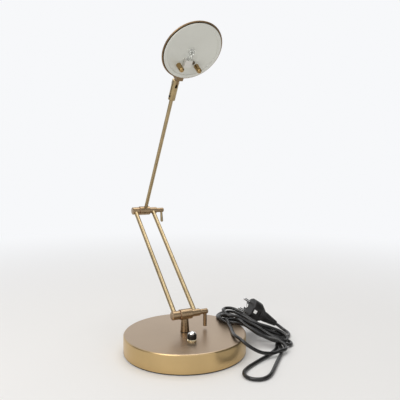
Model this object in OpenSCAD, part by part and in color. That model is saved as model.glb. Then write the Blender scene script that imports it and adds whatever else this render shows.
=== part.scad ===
// Tabletop searchlight lamp: a heavy round base, a stem, a twin-rod lower arm,
// a single-rod upper arm and a small tilting dish. Millimetres, +Z up.
// Origin: centre of the underside, on the table. The arms move in the YZ plane
// and reach forward to -Y; the hinge barrels lie along X.

/* [Base] */
// Radius of the round base
base_r = 100; // [80:1:120]
// Height of the top of the base above the table
base_h = 31; // [29:0.5:45]
// Thickness of the soft pad under the base
pad_t = 2; // [1:0.5:3]
// How far the pad stays inside the edge of the base
pad_inset = 1.5; // [0.5:0.5:10]
// Wall of the spun metal cover
cover_t = 2; // [1:0.5:3]
// Rounding of the top edge of the cover
edge_r = 2.5; // [1:0.5:4]
// Thickness of the steel bottom plate
plate_t = 1.5; // [1:0.5:2.5]
// Thickness of the cast ballast ring
ballast_t = 9; // [6:1:14]
// Inner radius of the ballast ring
ballast_ri = 62; // [60:1:66]
// Length of the transformer's core
core_l = 50; // [40:1:50]
// Width of the transformer's core
core_w = 38; // [30:1:38]
// Height of the transformer's core
core_h = 18; // [12:1:20]

/* [Stem] */
// Radius of the stem where it stands on the base
stem_r0 = 7.4; // [6:0.1:10]
// Radius of the stem under the hinge barrel
stem_r1 = 5.9; // [5:0.1:7]
// Height of the lower hinge axis above the table
lower_hinge_z = 60; // [55:1:90]
// Radius of the threaded tube that holds the stem
stud_tube_r = 4; // [3:0.5:5]

/* [Hinges] */
// Radius of the middle barrel of each hinge
tee_r = 8.5; // [7:0.1:11]
// Length of the middle barrel
tee_len = 20.8; // [16:0.1:30]
// Offset of the middle barrel from the lamp's centre plane
tee_mid_x = 1.2; // [0:0.1:2]
// Radius of the left barrel, which holds the fixed end of the hinge bolt
left_hub_r = 7.2; // [6:0.1:9]
// Outer end of the left barrel
left_hub_x = -23.6; // [-34:0.1:-20]
// Radius of the right barrel
right_hub_r = 6; // [5.2:0.1:8]
// Outer end of the right barrel
right_hub_x = 26.7; // [26:0.1:36]
// Radius of the hinge bolt
bolt_r = 2.5; // [2:0.1:3]
// Thickness of the fibre washers between the barrels
washer_t = 0.6; // [0.4:0.1:1]

/* [Clamp levers] */
// Radius of the clamp nut
nut_r = 4.4; // [4:0.1:6]
// Length of the clamp nut
nut_len = 14.6; // [10:0.1:20]
// Radius of the lower handle
handle_r = 3; // [2:0.1:4]
// Distance from the hinge axis to the end of the lower handle
handle_reach = 24.7; // [18:0.1:27]
// Distance from the hinge axis to the end of the upper handle
upper_handle_reach = 24; // [18:0.1:27]
// Swing of the upper handle, forwards from straight down, in degrees
upper_handle_swing = 8; // [-20:1:40]

/* [Arms] */
// Distance between the two hinge axes
lower_arm_len = 246; // [180:1:320]
// Lean of the lower arm, backwards from upright, in degrees
lower_lean = 50.9; // [20:0.1:60]
// Radius of the two lower rods
lower_rod_r = 3.85; // [3:0.05:4.5]
// Position of the left rod
left_rod_x = -17.2; // [-24:0.1:-15]
// Position of the right rod
right_rod_x = 18.6; // [17:0.1:24]
// Wall of the rods
rod_wall = 1; // [0.6:0.1:1.5]
// Length of the upper rod from the hinge axis to the neck
upper_rod_len = 239.5; // [160:0.5:300]
// Lean of the upper arm, forwards from upright, in degrees
upper_lean = 33.5; // [0:0.1:60]
// Radius of the upper rod
upper_rod_r = 3.3; // [2.8:0.05:4]
// Offset of the upper rod from the lamp's centre plane
upper_rod_x = 3; // [0:0.1:4]

/* [Neck] */
// Radius of the neck collar and of the fork
neck_r = 6.1; // [5.5:0.1:8]
// Length of the collar
collar_len = 10.5; // [9:0.5:20]
// Length of the fork
fork_len = 26; // [24:0.5:34]
// Width of the slot in the fork
slot_w = 3.8; // [3:0.1:5]
// Distance from the top of the fork down to the tilt pin
pin_drop = 5.5; // [4.5:0.1:7]
// Radius of the tilt pin
pin_r = 1.5; // [1:0.1:2]
// Turn of the head about the upper rod, in degrees
head_turn = 5; // [-90:0.1:90]
// Nod of the head, forwards from the rod's line, in degrees
head_nod = 11.4; // [-40:0.1:40]

/* [Dish] */
// Largest radius of the shell, over its rolled edge
shell_r = 50.9; // [45:0.1:60]
// Wall of the spun shell
shell_t = 1.2; // [0.8:0.1:2]
// Radius of the rolled edge
bead_r = 1.3; // [1:0.1:2]
// Depth of the shell behind its rolled edge
shell_depth = 17; // [14:0.5:22]
// Distance from the tilt pin to the centre of the dish, along the dish
dish_reach = 70.3; // [66:0.1:110]
// Distance from the tilt pin forward to the plane of the rolled edge
dish_forward = 14.3; // [10:0.1:18]
// Radial step from the shell's edge in to the reflector's edge
rim_step = 2.8; // [2.5:0.1:5]
// How far the reflector's rim stands in front of the shell's edge
rim_z = 3.3; // [3.2:0.1:6]
// Width of the reflector's flat rim
rim_w = 5.6; // [3:0.1:8]
// Depth of the step inside the flat rim
rim_drop = 1; // [0.5:0.1:2]
// Depth of the bowl below the step
bowl_depth = 3.6; // [2:0.1:6]
// Thickness of the reflector
reflector_t = 0.8; // [0.5:0.1:1.2]
// Sideways position of the two dome nuts
dome_nut_x = 16; // [14:0.5:22]
// Position of the dome nuts from the centre of the dish
dome_nut_y = -26; // [-34:0.5:-25]
// Radius of the dome nuts
dome_nut_r = 4.1; // [3:0.1:4.5]
// Height of the dome nuts above their seats
dome_nut_h = 17; // [10:0.5:20]
// Width of the bracket's strap
strap_w = 12.5; // [10:0.5:18]
// Thickness of the bracket's strap
strap_t = 2.5; // [1.5:0.5:4]

/* [Lamp holder] */
// Width of the ceramic lamp holder
holder_w = 13; // [11:0.5:13]
// Length of the ceramic lamp holder
holder_l = 12; // [9:0.5:14]
// Height of the ceramic lamp holder
holder_h = 9; // [8:0.5:10]
// Sideways position of the lamp holder
holder_x = -1.5; // [-2:0.1:-1]
// Position of the lamp holder from the centre of the dish
holder_y = -21.5; // [-24:0.5:-18]
// Radius of the halogen capsule
capsule_r = 3.9; // [3.5:0.1:4.5]
// Length of the halogen capsule
capsule_l = 20; // [18:0.5:32]
// Distance between the capsule's pins
pin_pitch = 4; // [3:0.5:5]

/* [Switch] */
// Distance of the switch from the centre of the base
switch_dist = 44.2; // [40:0.1:60]
// Direction of the switch from the centre, in degrees from +X
switch_dir = -100.7; // [-130:0.1:-70]
// Radius of the switch's ring nut
switch_nut_r = 7; // [6:0.1:9]
// Height of the ring nut
switch_nut_h = 3; // [2:0.1:4]
// Radius of the black switch body above the base
switch_body_r = 7.4; // [6.5:0.1:9]
// Height of the black body above the ring nut
switch_body_h = 8; // [6:0.1:12]
// Radius of the chrome button
button_r = 6; // [4:0.1:6.2]
// Height of the button above the black body
button_h = 4; // [3.5:0.1:6]
// Travel of the button
button_travel = 2.5; // [1:0.1:3]

/* [Mains cord] */
// Diameter of the cord
cord_d = 5.5; // [5:0.1:7]
// Thickness of the tied hank
hank_t = 11; // [11:0.5:12]
// Width of the tied hank
hank_w = 25; // [18:0.5:25]
// Length of the strain relief outside the base
bush_relief_l = 22; // [20:1:30]
// Radius of the plug body
plug_r = 18.5; // [17:0.5:18.5]
// Distance between the plug's two pins
plug_pin_pitch = 19; // [16:0.5:20]
// Radius of the plug's pins
plug_pin_r = 2.4; // [2:0.1:2.4]
// Length of the plug's pins
plug_pin_len = 19; // [15:0.5:20]

/* [Hidden] */

// Smoothness of the revolved forms
$fn = 64;

// Clearances
fit = 0.05;       // pieces that are pressed, soldered or screwed together
run = 0.05;       // a shaft that turns in its hole
face_gap = 0.05;  // faces that slide on each other

// Colours
bronze = [0.66, 0.53, 0.38];
brass = [0.74, 0.59, 0.36];
dark_brass = [0.38, 0.29, 0.19];
steel = [0.70, 0.70, 0.70];
chrome = [0.85, 0.85, 0.86];
iron = [0.25, 0.25, 0.26];
black = [0.10, 0.10, 0.10];
white = [0.88, 0.88, 0.85];
grey = [0.40, 0.40, 0.38];
copper = [0.55, 0.30, 0.12];
glass = [0.90, 0.95, 1.00];

// Base
deck_z = base_h - cover_t;
plate_z = pad_t;
plate_top = plate_z + plate_t;
plate_r = base_r - cover_t - 0.3;
ballast_top = plate_top + ballast_t;
ballast_ro = base_r - cover_t - 1.5;
ballast_screw_dist = (ballast_ri + ballast_ro) / 2;
ballast_screw_r = 2;
exit_dir = switch_dir + 180;
exit_z = 18;
bush_r = 5.5;
bush_neck_r = 4.5;
limb_w = 12;
coil_w = 7;
coil_gap = 1;
coil_rise = 4;

// Stem
washer_disc_t = 0.5;
stem_z0 = base_h + washer_disc_t + face_gap;
stem_bore_r = stud_tube_r + fit;
tee_socket_z = lower_hinge_z - bolt_r - 2.6;
stem_taper_z = lower_hinge_z - tee_r + 0.6;
stud_tube_z0 = deck_z - 11;
stem_washer_t = 1.5;
stem_nut_t = 5;
stem_nut_r = stud_tube_r + 3.5;

// Hinges: every barrel is a stretch of the X axis
tee_x0 = tee_mid_x - tee_len / 2;
tee_x1 = tee_mid_x + tee_len / 2;
left_hub_x1 = tee_x0 - washer_t - 2 * face_gap;
right_hub_x0 = tee_x1 + washer_t + 2 * face_gap;
nut_x0 = right_hub_x + 2 * face_gap;
nut_x1 = nut_x0 + nut_len;
bolt_x0 = left_hub_x + 2.5;
bolt_x1 = nut_x1 - 2;
rod_seat = bolt_r + 0.5;
handle_x = nut_x0 + nut_len * 0.7;
spigot_r = 1.5;
upper_handle_r0 = 2.1;
upper_handle_r1 = 2.7;

// Arms
rod_end = lower_arm_len - rod_seat;

// Neck, measured along the upper rod from the upper hinge axis
collar_s = upper_rod_len;
fork_s = collar_s + collar_len;
fork_top_s = fork_s + fork_len;
pin_s = fork_top_s - pin_drop;
tongue_r = pin_drop - 0.6;
tongue_t = slot_w - 0.4;
keyhole_r = slot_w * 0.65;
keyhole_s = pin_s - tongue_r - 0.3;
rod_in_collar = 5;
spindle_r = 2.6;
spindle_head_r = 3.8;
fork_floor = 5;
spindle_head_t = 1.2;
pin_head_r = pin_r + 1.3;
pin_head_t = 1;
knuckle_front = dish_forward - 5;
knuckle_back = 4.5;
knuckle_z0 = norm([neck_r, pin_drop]) + 1.6;
knuckle_h = dish_reach - shell_r + 5 - knuckle_z0;

// Dish, in its own frame: origin in the middle of the shell's edge, +Z out of the dish
bead_mid_r = shell_r - bead_r;
cap_r = (bead_mid_r * bead_mid_r + shell_depth * shell_depth) / (2 * shell_depth);
cap_mid_z = cap_r - shell_depth;
reflector_r = shell_r - rim_step;
bowl_rim_r = reflector_r - rim_w;
bowl_rim_z = rim_z - rim_drop;
bowl_r = (bowl_rim_r * bowl_rim_r + bowl_depth * bowl_depth) / (2 * bowl_depth);
bowl_mid_z = bowl_rim_z - bowl_depth + bowl_r;
rim_turn_h = 1.6;
dome_nut_dist = norm([dome_nut_x, dome_nut_y]);
nut_seat_z = bowl_z(dome_nut_dist) + 0.6;
nut_pad_h = 2;
nut_pad_r = dome_nut_r + 1.2;
head_stud_r = 2;
stud_head_r = 3.6;
stud_back_z = cap_mid_z - sqrt(cap_r * cap_r - dome_nut_dist * dome_nut_dist) - strap_t - 2;
stud_top_z = nut_seat_z + dome_nut_h - dome_nut_r - 2;
strap_top_y = dome_nut_y + 7;
strap_wing_w = 2 * dome_nut_x + 11;

// Lamp holder: it stands on a plate behind the reflector and comes through a window
holder_plate_t = 1;
holder_z0 = -4.2;
holder_front_y = holder_y + holder_l / 2;
holder_window_gap = 0.3;
holder_screw_x = holder_x + holder_w / 2 + 3.4;
holder_screw_y = holder_y + 1;
holder_screw_r = 3;
holder_screw_shank_r = 1.2;
holder_screw_z = bowl_z(norm([holder_screw_x, holder_screw_y])) + 0.3;
holder_pad_r = 3.4;
capsule_z = bowl_z(holder_front_y) + capsule_r + 0.3;
capsule_pin_r = 0.4;
pinch_w = 7;
pinch_t = 3;
pinch_l = 8;

// How much farther out the cord lies than beside a base of 100 mm radius
cord_out = base_r - 100;

// Plug: the middle of its face, the way its pins point, and the way the pin pair lies
plug_face = [136 + cord_out, 18, base_h + 17];
plug_tilt = acos(0.548);
plug_heading = 172.5;
plug_roll = -2;
plug_body_l = 36;
plug_relief_l = 29;

// Mains cord. The hank lies over the edge of the base, down to the table.
hank_start = [82 + cord_out, 40];
hank_dir = -48.5;
hank_shift = -6.5;
hank_bend = [49.6, base_h + hank_t / 2 + 0.2];
hank_end = [133, hank_t / 2 + 0.2];
hank_slope = atan2(hank_end[1] - hank_bend[1], hank_end[0] - hank_bend[0]);

// Points along the cord, chosen by hand for a base of 100 mm radius and 31 mm height
mains_route = concat(
    [exit_point(base_r - 24), exit_point(base_r), exit_point(base_r + bush_relief_l)],
    around([
        [27, 133, 16.5], [34, 143, 11.5], [46, 150, 6], [60, 151, 3], [80, 144, 3], [105, 126, 3],
        [126, 103, 3], [142, 78, 3], [155, 49, 3], [163, 20, 3], [166, -10, 3]
    ]),
    beside([[161, -34, 3], [148, -53, 3], [135, -70, 3], [126, -76, 3]])
);
loop_route = beside([
    [126, -76, 3], [111, -86, 3], [94, -94, 3], [72, -106, 3], [52, -119, 3], [41, -129, 3],
    [36, -139, 3], [38, -149, 3], [47, -154, 3], [58, -152, 3], [71, -144, 3], [87, -127, 3],
    [105, -109, 3], [122, -94, 3], [135, -82, 3], [142, -73, 3.5], [146, -65, 6.5], [146, -57, 9.2],
    [142, -47, 11]
]);
front_route = beside([
    [132, -44, 17], [137, -54, 13], [142, -64, 11], [145, -74, 10], [141, -83, 9], [132, -88, 8.9],
    [120, -88, 8.9], [106, -84, 8.9], [94, -82, 10], [84, -83, 14], [76, -84, 20], [69, -82, 28],
    [64, -76, 34], [60, -66, 36], [61, -52, 35], [65, -37, 34], [71, -20, 34], [77, -4, 36],
    [82, 11, 40], [87, 21, 43], [90, 31, 46], [97, 38, 47], [107, 38, 46], [114, 31, 43],
    [116, 20, 39], [112, 8, 37]
]);
tail_route = concat([plug_exit(0), plug_exit(5)], beside([
    [198, 1, 5], [201, -9, 3], [200, -18, 3], [196, -28, 3], [189, -35, 4], [181, -39, 7.5],
    [171, -40, 12], [160, -38, 16], [150, -36, 17]
]));
cord_sides = 8;

// ---------------------------------------------------------------- helpers

// Height of the reflector's bowl at a distance from its axis
function bowl_z(dist) = bowl_mid_z - sqrt(bowl_r * bowl_r - dist * dist);

// Point on the line on which the cord leaves the base
function exit_point(dist) = [dist * cos(exit_dir), dist * sin(exit_dir), exit_z];

// Points of an arc in a plane
function arc(mid, r, a0, a1, n) =
    [for (i = [0:n]) mid + r * [cos(a0 + (a1 - a0) * i / n), sin(a0 + (a1 - a0) * i / n)]];

// Point behind the plug, a distance out of its strain relief
function plug_exit(out) = plug_face - (plug_body_l + plug_relief_l + out)
    * [sin(plug_tilt) * cos(plug_heading), sin(plug_tilt) * sin(plug_heading), cos(plug_tilt)];

// Radius of a ring on the cord's strain relief, at a distance from the cover
function bush_ring_r(out) = bush_neck_r + 0.5 - (bush_neck_r - cord_d / 2 - 0.8) * out / bush_relief_l;

function unit(v) = v / norm(v);

// Points of the cord that follow a base of another radius or height
function around(points) = [for (p = points)
    let (way = unit([p[0], p[1]]))
    [p[0] + cord_out * way[0], p[1] + cord_out * way[1], p[2]]];
function beside(points) = [for (p = points) [p[0] + cord_out, p[1], 3 + (p[2] - 3) * base_h / 31]];

// Direction of the route at one of its points
function heading(p, i) = unit(p[min(i + 1, len(p) - 1)] - p[max(i - 1, 0)]);

// Ring of points around a point of the route
function ring(mid, dir, r) =
    let (side = unit(cross(dir, [0, 0, 1])), up = cross(side, dir))
    [for (k = [0:cord_sides - 1])
        mid + r * (cos(360 * k / cord_sides) * side + sin(360 * k / cord_sides) * up)];

// One closed tube along a route
module cord_tube(route) {
    rings = len(route);
    points = [for (i = [0:rings - 1]) each ring(route[i], heading(route, i), cord_d / 2)];
    walls = [for (i = [0:rings - 2]) for (k = [0:cord_sides - 1])
        let (k1 = (k + 1) % cord_sides)
        [i * cord_sides + k, i * cord_sides + k1, (i + 1) * cord_sides + k1, (i + 1) * cord_sides + k]];
    first_end = [for (k = [cord_sides - 1:-1:0]) k];
    last_end = [for (k = [0:cord_sides - 1]) (rings - 1) * cord_sides + k];
    polyhedron(points, concat(walls, [first_end, last_end]), convexity = 6);
}

// Cylinder along X
module x_bar(x0, x1, r) {
    translate([x0, 0, 0]) rotate([0, 90, 0]) cylinder(h = x1 - x0, r = r);
}

// Barrel along X with a bevel at each end
module x_barrel(x0, x1, r, bevel0, bevel1) {
    translate([x0, 0, 0]) rotate([0, 90, 0]) rotate_extrude()
        polygon([[0, 0], [r - bevel0, 0], [r, bevel0], [r, x1 - x0 - bevel1],
            [r - bevel1, x1 - x0], [0, x1 - x0]]);
}

// Hollow rod along Z
module tube(z0, z1, r, wall) {
    difference() {
        translate([0, 0, z0]) cylinder(h = z1 - z0, r = r);
        translate([0, 0, z0 - 1]) cylinder(h = z1 - z0 + 2, r = r - wall);
    }
}

// Places: each frame puts its children where that piece sits
module lower_hinge_frame() { translate([0, 0, lower_hinge_z]) children(); }
module lower_arm_frame() { lower_hinge_frame() rotate([-lower_lean, 0, 0]) children(); }
module upper_hinge_frame() {
    lower_arm_frame() translate([0, 0, lower_arm_len]) rotate([lower_lean, 0, 0]) children();
}
module upper_arm_frame() { upper_hinge_frame() rotate([upper_lean, 0, 0]) children(); }
module neck_frame() {
    upper_arm_frame() translate([upper_rod_x, 0, 0]) rotate([0, 0, head_turn]) children();
}
module tilt_frame() { neck_frame() translate([0, 0, pin_s]) rotate([head_nod, 0, 0]) children(); }
module dish_frame() {
    tilt_frame() translate([0, -dish_forward, dish_reach]) rotate([90, 0, 0]) children();
}
module switch_frame() { rotate([0, 0, switch_dir]) translate([switch_dist, 0, base_h]) children(); }
module exit_frame() {
    rotate([0, 0, exit_dir]) translate([base_r, 0, exit_z]) rotate([0, 90, 0]) children();
}
module plug_frame() {
    translate(plug_face) rotate([0, plug_tilt, plug_heading]) rotate([0, 0, plug_roll]) children();
}
module hank_frame() { translate([hank_start[0], hank_start[1], 0]) rotate([0, 0, hank_dir]) children(); }

// Repeats its children at the two dome nuts
module at_dome_nuts() {
    for (side = [-1, 1])
        translate([side * dome_nut_x, dome_nut_y, 0]) children();
}

// ---------------------------------------------------------------- base

// Half outline of the base, with the rounded top edge
module base_half_outline(r, z0, z1, round_r) {
    translate([0, z0]) square([r, z1 - z0 - round_r]);
    translate([0, z0]) square([r - round_r, z1 - z0]);
    translate([r - round_r, z1 - round_r]) circle(r = round_r);
}

module base_cover() color(bronze) difference() {
    rotate_extrude($fn = 128) intersection() {
        difference() {
            base_half_outline(base_r, plate_z, base_h, edge_r);
            base_half_outline(base_r - cover_t, plate_z - 5, deck_z, max(edge_r - cover_t, 0.3));
        }
        square([base_r + 1, base_h + 1]);
    }
    cylinder(h = base_h + 1, r = stem_bore_r);
    switch_frame() translate([0, 0, -10]) cylinder(h = 20, r = switch_thread_r() + fit);
    exit_frame() translate([0, 0, -10]) cylinder(h = 20, r = bush_neck_r + fit);
}

function switch_thread_r() = switch_nut_r - 1.5;

module bottom_plate() color(iron) difference() {
    translate([0, 0, plate_z]) cylinder(h = plate_t, r = plate_r, $fn = 128);
    ballast_screw_places() translate([0, 0, plate_z - 1])
        cylinder(h = plate_t + 2, r = ballast_screw_r + 0.2);
}

module foot_pad() color(black) cylinder(h = pad_t, r = base_r - pad_inset, $fn = 128);

// Repeats its children at the three screws of the ballast ring
module ballast_screw_places() {
    for (turn = [0:120:240])
        rotate([0, 0, exit_dir + 60 + turn]) translate([ballast_screw_dist, 0, 0]) children();
}

module ballast_ring() color(iron) difference() {
    translate([0, 0, plate_top]) rotate_extrude($fn = 128)
        polygon([[ballast_ri, 0], [ballast_ro, 0], [ballast_ro, ballast_t - 2], [ballast_ro - 2, ballast_t],
            [ballast_ri + 1, ballast_t], [ballast_ri, ballast_t - 1]]);
    ballast_screw_places() translate([0, 0, plate_z])
        cylinder(h = ballast_t + 5, r = ballast_screw_r + fit);
}

module ballast_screws() color(steel) ballast_screw_places() {
    translate([0, 0, plate_z]) cylinder(h = plate_t + ballast_t - 1, r = ballast_screw_r);
}

// Transformer: a laminated core on the plate, with its winding over the middle limb
module transformer_frame() {
    rotate([0, 0, exit_dir - 50]) translate([-12, 27, plate_top]) children();
}

module transformer_core() color(grey) transformer_frame() difference() {
    translate([-core_l / 2, -core_w / 2, 0]) cube([core_l, core_w, core_h]);
    for (side = [-1, 1])
        translate([side * (limb_w + coil_w + coil_gap) / 2, 0, core_h / 2])
            cube([coil_w + coil_gap, core_w - 16, core_h + 2], center = true);
}

module transformer_winding() color(copper) transformer_frame() difference() {
    translate([-limb_w / 2 - coil_w, -core_w / 2 + 8 + coil_gap / 2, 0])
        cube([limb_w + 2 * coil_w, core_w - 16 - coil_gap, core_h + coil_rise]);
    translate([-limb_w / 2 - fit, -core_w / 2, -1]) cube([limb_w + 2 * fit, core_w, core_h + 1 + fit]);
}

module terminal_block() color(white) rotate([0, 0, exit_dir]) translate([30, -28, plate_top]) difference() {
    translate([-8, -6, 0]) cube([16, 12, 11]);
    for (pole = [-4, 4])
        translate([pole, 0, 6]) rotate([90, 0, 0]) cylinder(h = 20, r = 1.6, center = true, $fn = 24);
    for (pole = [-4, 4])
        translate([pole, 0, 7]) cylinder(h = 10, r = 1.8, $fn = 24);
}

// Block that grips the cord, on top of the ballast ring
module cord_clamp() color(black) rotate([0, 0, exit_dir]) translate([base_r - 22, 0, 0]) difference() {
    translate([-5, -9, ballast_top]) cube([10, 18, exit_z + 5 - ballast_top]);
    translate([-6, 0, exit_z]) rotate([0, 90, 0]) cylinder(h = 12, r = cord_d / 2 + fit);
}

// Grommet in the cover's wall with a tapered, ringed strain relief on its outside
module cord_bush() color(black) exit_frame() difference() {
    union() {
        translate([0, 0, -cover_t - 1.7]) cylinder(h = 1.4, r = bush_r);
        translate([0, 0, -cover_t - 1.5]) cylinder(h = cover_t + 3, r = bush_neck_r);
        translate([0, 0, 0.1]) cylinder(h = 2.4, r1 = bush_r + 1, r2 = bush_r - 0.6);
        cylinder(h = bush_relief_l, r1 = bush_neck_r, r2 = cord_d / 2 + 0.8);
        for (out = [4.5:3:bush_relief_l - 2])
            translate([0, 0, out]) cylinder(h = 1.6, r = bush_ring_r(out));
    }
    translate([0, 0, -10]) cylinder(h = bush_relief_l + 20, r = cord_d / 2 + fit);
}

// ---------------------------------------------------------------- switch

module switch_ring_nut() color(chrome) switch_frame() difference() {
    rotate_extrude()
        polygon([[0, 0], [switch_nut_r, 0], [switch_nut_r, switch_nut_h - 0.6],
            [switch_nut_r - 0.6, switch_nut_h], [0, switch_nut_h]]);
    translate([0, 0, -1]) cylinder(h = switch_nut_h + 2, r = switch_thread_r() + fit);
}

module switch_housing() color(black) switch_frame() difference() {
    union() {
        translate([0, 0, switch_nut_h]) rotate_extrude()
            polygon([[0, 0], [switch_body_r - 0.8, 0], [switch_body_r, 0.8],
                [switch_body_r, switch_body_h - 1.5],
                [switch_body_r - 1.2, switch_body_h], [0, switch_body_h]]);
        translate([0, 0, -cover_t - 4]) cylinder(h = cover_t + 4 + switch_nut_h, r = switch_thread_r());
        translate([-8, -8, -cover_t - 16]) cube([16, 16, 15.5]);
    }
    translate([0, 0, switch_nut_h + switch_body_h - button_travel - 2.5])
        cylinder(h = button_travel + 5, r = button_r + fit);
    translate([0, 0, switch_nut_h + switch_body_h - button_travel - 7])
        cylinder(h = button_travel + 9, r = 2.5 + fit);
}

// Radius of the sphere that domes the button
function button_cap_r() = (button_r * button_r + 9) / 6;

module switch_button() color(chrome) switch_frame() translate([0, 0, switch_nut_h + switch_body_h]) {
    intersection() {
        translate([0, 0, -2]) cylinder(h = 2 + button_h, r = button_r);
        translate([0, 0, button_h - button_cap_r()]) sphere(r = button_cap_r());
    }
    translate([0, 0, -4.5]) cylinder(h = 3, r = 2.5);
}

// ---------------------------------------------------------------- stem and lower hinge

module swivel_washer() color(dark_brass) translate([0, 0, base_h]) difference() {
    cylinder(h = washer_disc_t, r = stem_r0 + 0.3);
    translate([0, 0, -1]) cylinder(h = 3, r = stem_bore_r);
}

module stem() color(brass) difference() {
    rotate_extrude()
        polygon([[0, stem_z0], [stem_r0 - 0.4, stem_z0], [stem_r0, stem_z0 + 0.4], [stem_r1, stem_taper_z],
            [stem_r1, tee_socket_z - fit], [0, tee_socket_z - fit]]);
    cylinder(h = lower_hinge_z, r = stem_bore_r);
}

module stem_tube() color(steel) tube(stud_tube_z0, tee_socket_z - fit, stud_tube_r, 1.2);

module stem_washer() color(steel) translate([0, 0, deck_z - stem_washer_t - face_gap]) difference() {
    cylinder(h = stem_washer_t, r = stem_nut_r + 4);
    translate([0, 0, -1]) cylinder(h = stem_washer_t + 2, r = stem_bore_r);
}

module stem_nut() color(steel)
translate([0, 0, deck_z - stem_washer_t - stem_nut_t - 2 * face_gap]) difference() {
    cylinder(h = stem_nut_t, r = stem_nut_r, $fn = 6);
    translate([0, 0, -1]) cylinder(h = stem_nut_t + 2, r = stem_bore_r);
}

// Middle barrel of a hinge, bored for the bolt
module tee_barrel() {
    difference() {
        x_barrel(tee_x0, tee_x1, tee_r, 0.5, 0.5);
        x_bar(tee_x0 - 1, tee_x1 + 1, bolt_r + run);
    }
}

module lower_tee() color(brass) lower_hinge_frame() difference() {
    tee_barrel();
    translate([0, 0, -tee_r - 5]) cylinder(h = tee_socket_z - lower_hinge_z + tee_r + 5, r = stem_r1 + fit);
}

// Outer barrel with a socket for a rod; toward is +1 for a rod that leaves upwards
module left_hub(toward) {
    difference() {
        x_barrel(left_hub_x, left_hub_x1, left_hub_r, 1, 0.3);
        x_bar(bolt_x0 - fit, left_hub_x1 + 1, bolt_r + fit);
        translate([left_rod_x, 0, toward > 0 ? rod_seat - fit : -20 - rod_seat + fit])
            cylinder(h = 20, r = lower_rod_r + fit);
    }
}

module right_hub(toward) {
    difference() {
        x_barrel(right_hub_x0, right_hub_x, right_hub_r, 0.3, 0.5);
        x_bar(right_hub_x0 - 1, right_hub_x + 1, bolt_r + run);
        translate([right_rod_x, 0, toward > 0 ? rod_seat - fit : -20 - rod_seat + fit])
            cylinder(h = 20, r = lower_rod_r + fit);
    }
}

module hinge_washers() color(dark_brass) {
    difference() {
        union() {
            x_bar(left_hub_x1 + face_gap, tee_x0 - face_gap, left_hub_r + 0.3);
            x_bar(tee_x1 + face_gap, right_hub_x0 - face_gap, right_hub_r + 0.6);
        }
        x_bar(left_hub_x1 - 1, right_hub_x0 + 1, bolt_r + fit);
    }
}

module hinge_bolt() color(steel) x_bar(bolt_x0, bolt_x1, bolt_r);

module lower_left_hub() color(brass) lower_arm_frame() left_hub(1);
module lower_right_hub() color(brass) lower_arm_frame() right_hub(1);
module lower_hinge_bolt() lower_hinge_frame() hinge_bolt();
module lower_hinge_washers() lower_hinge_frame() hinge_washers();

// ---------------------------------------------------------------- clamp levers

module clamp_nut() {
    difference() {
        x_barrel(nut_x0, nut_x1, nut_r, 0.3, 0.8);
        x_bar(nut_x0 - 1, bolt_x1 + 0.2, bolt_r + run);
        translate([handle_x, 0, -nut_r - 2]) cylinder(h = nut_r + 2 - rod_seat, r = spigot_r + fit);
    }
}

// Handle below the nut, coped to sit on its round side
module clamp_handle(reach, top_r, end_r, ball_end) {
    difference() {
        translate([handle_x, 0, -reach]) {
            if (ball_end) {
                translate([0, 0, end_r]) sphere(r = end_r);
                translate([0, 0, end_r]) cylinder(h = reach - end_r - bolt_r, r1 = end_r, r2 = top_r);
            } else {
                cylinder(h = reach - bolt_r, r = end_r);
            }
        }
        x_bar(nut_x0 - 1, nut_x1 + 1, nut_r + fit);
    }
    translate([handle_x, 0, -nut_r - 1]) cylinder(h = nut_r + 1 - rod_seat - fit, r = spigot_r);
}

module upper_lever_frame() { upper_hinge_frame() rotate([-upper_handle_swing, 0, 0]) children(); }

module lower_clamp_nut() color(brass) lower_hinge_frame() clamp_nut();
module lower_clamp_handle() color(brass) lower_hinge_frame()
    clamp_handle(handle_reach, handle_r, handle_r, false);
module upper_clamp_nut() color(brass) upper_lever_frame() clamp_nut();
module upper_clamp_handle() color(brass) upper_lever_frame()
    clamp_handle(upper_handle_reach, upper_handle_r0, upper_handle_r1, true);

// ---------------------------------------------------------------- arms

module left_rod() color(brass) lower_arm_frame() translate([left_rod_x, 0, 0])
    tube(rod_seat, rod_end, lower_rod_r, rod_wall);

module right_rod() color(brass) lower_arm_frame() translate([right_rod_x, 0, 0])
    tube(rod_seat, rod_end, lower_rod_r, rod_wall);

module upper_left_hub() color(brass) lower_arm_frame() translate([0, 0, lower_arm_len]) left_hub(-1);
module upper_right_hub() color(brass) lower_arm_frame() translate([0, 0, lower_arm_len]) right_hub(-1);
module upper_hinge_bolt() upper_hinge_frame() hinge_bolt();
module upper_hinge_washers() upper_hinge_frame() hinge_washers();

module upper_tee() color(brass) upper_arm_frame() difference() {
    tee_barrel();
    translate([upper_rod_x, 0, rod_seat + 0.5 - fit]) cylinder(h = 20, r = upper_rod_r + fit);
}

module upper_rod() color(brass) upper_arm_frame() translate([upper_rod_x, 0, 0])
    tube(rod_seat + 0.5, collar_s + rod_in_collar, upper_rod_r, rod_wall);

// ---------------------------------------------------------------- neck

module neck_collar() color(brass) upper_arm_frame() translate([upper_rod_x, 0, 0]) difference() {
    translate([0, 0, collar_s]) rotate_extrude()
        polygon([[0, 0], [neck_r - 0.8, 0], [neck_r, 0.8], [neck_r, collar_len], [0, collar_len]]);
    translate([0, 0, collar_s - 1]) cylinder(h = rod_in_collar + 1 + fit, r = upper_rod_r + fit);
    translate([0, 0, collar_s]) cylinder(h = collar_len + 1, r = spindle_r + fit);
    collar_screw_place() cylinder(h = 10, r = 2 + fit);
}

// The grub screw sits in the collar's left side
module collar_screw_place() {
    rotate([0, 0, 200]) translate([spindle_r + 0.2, 0, collar_s + collar_len - 3.2])
        rotate([0, 90, 0]) children();
}

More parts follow.
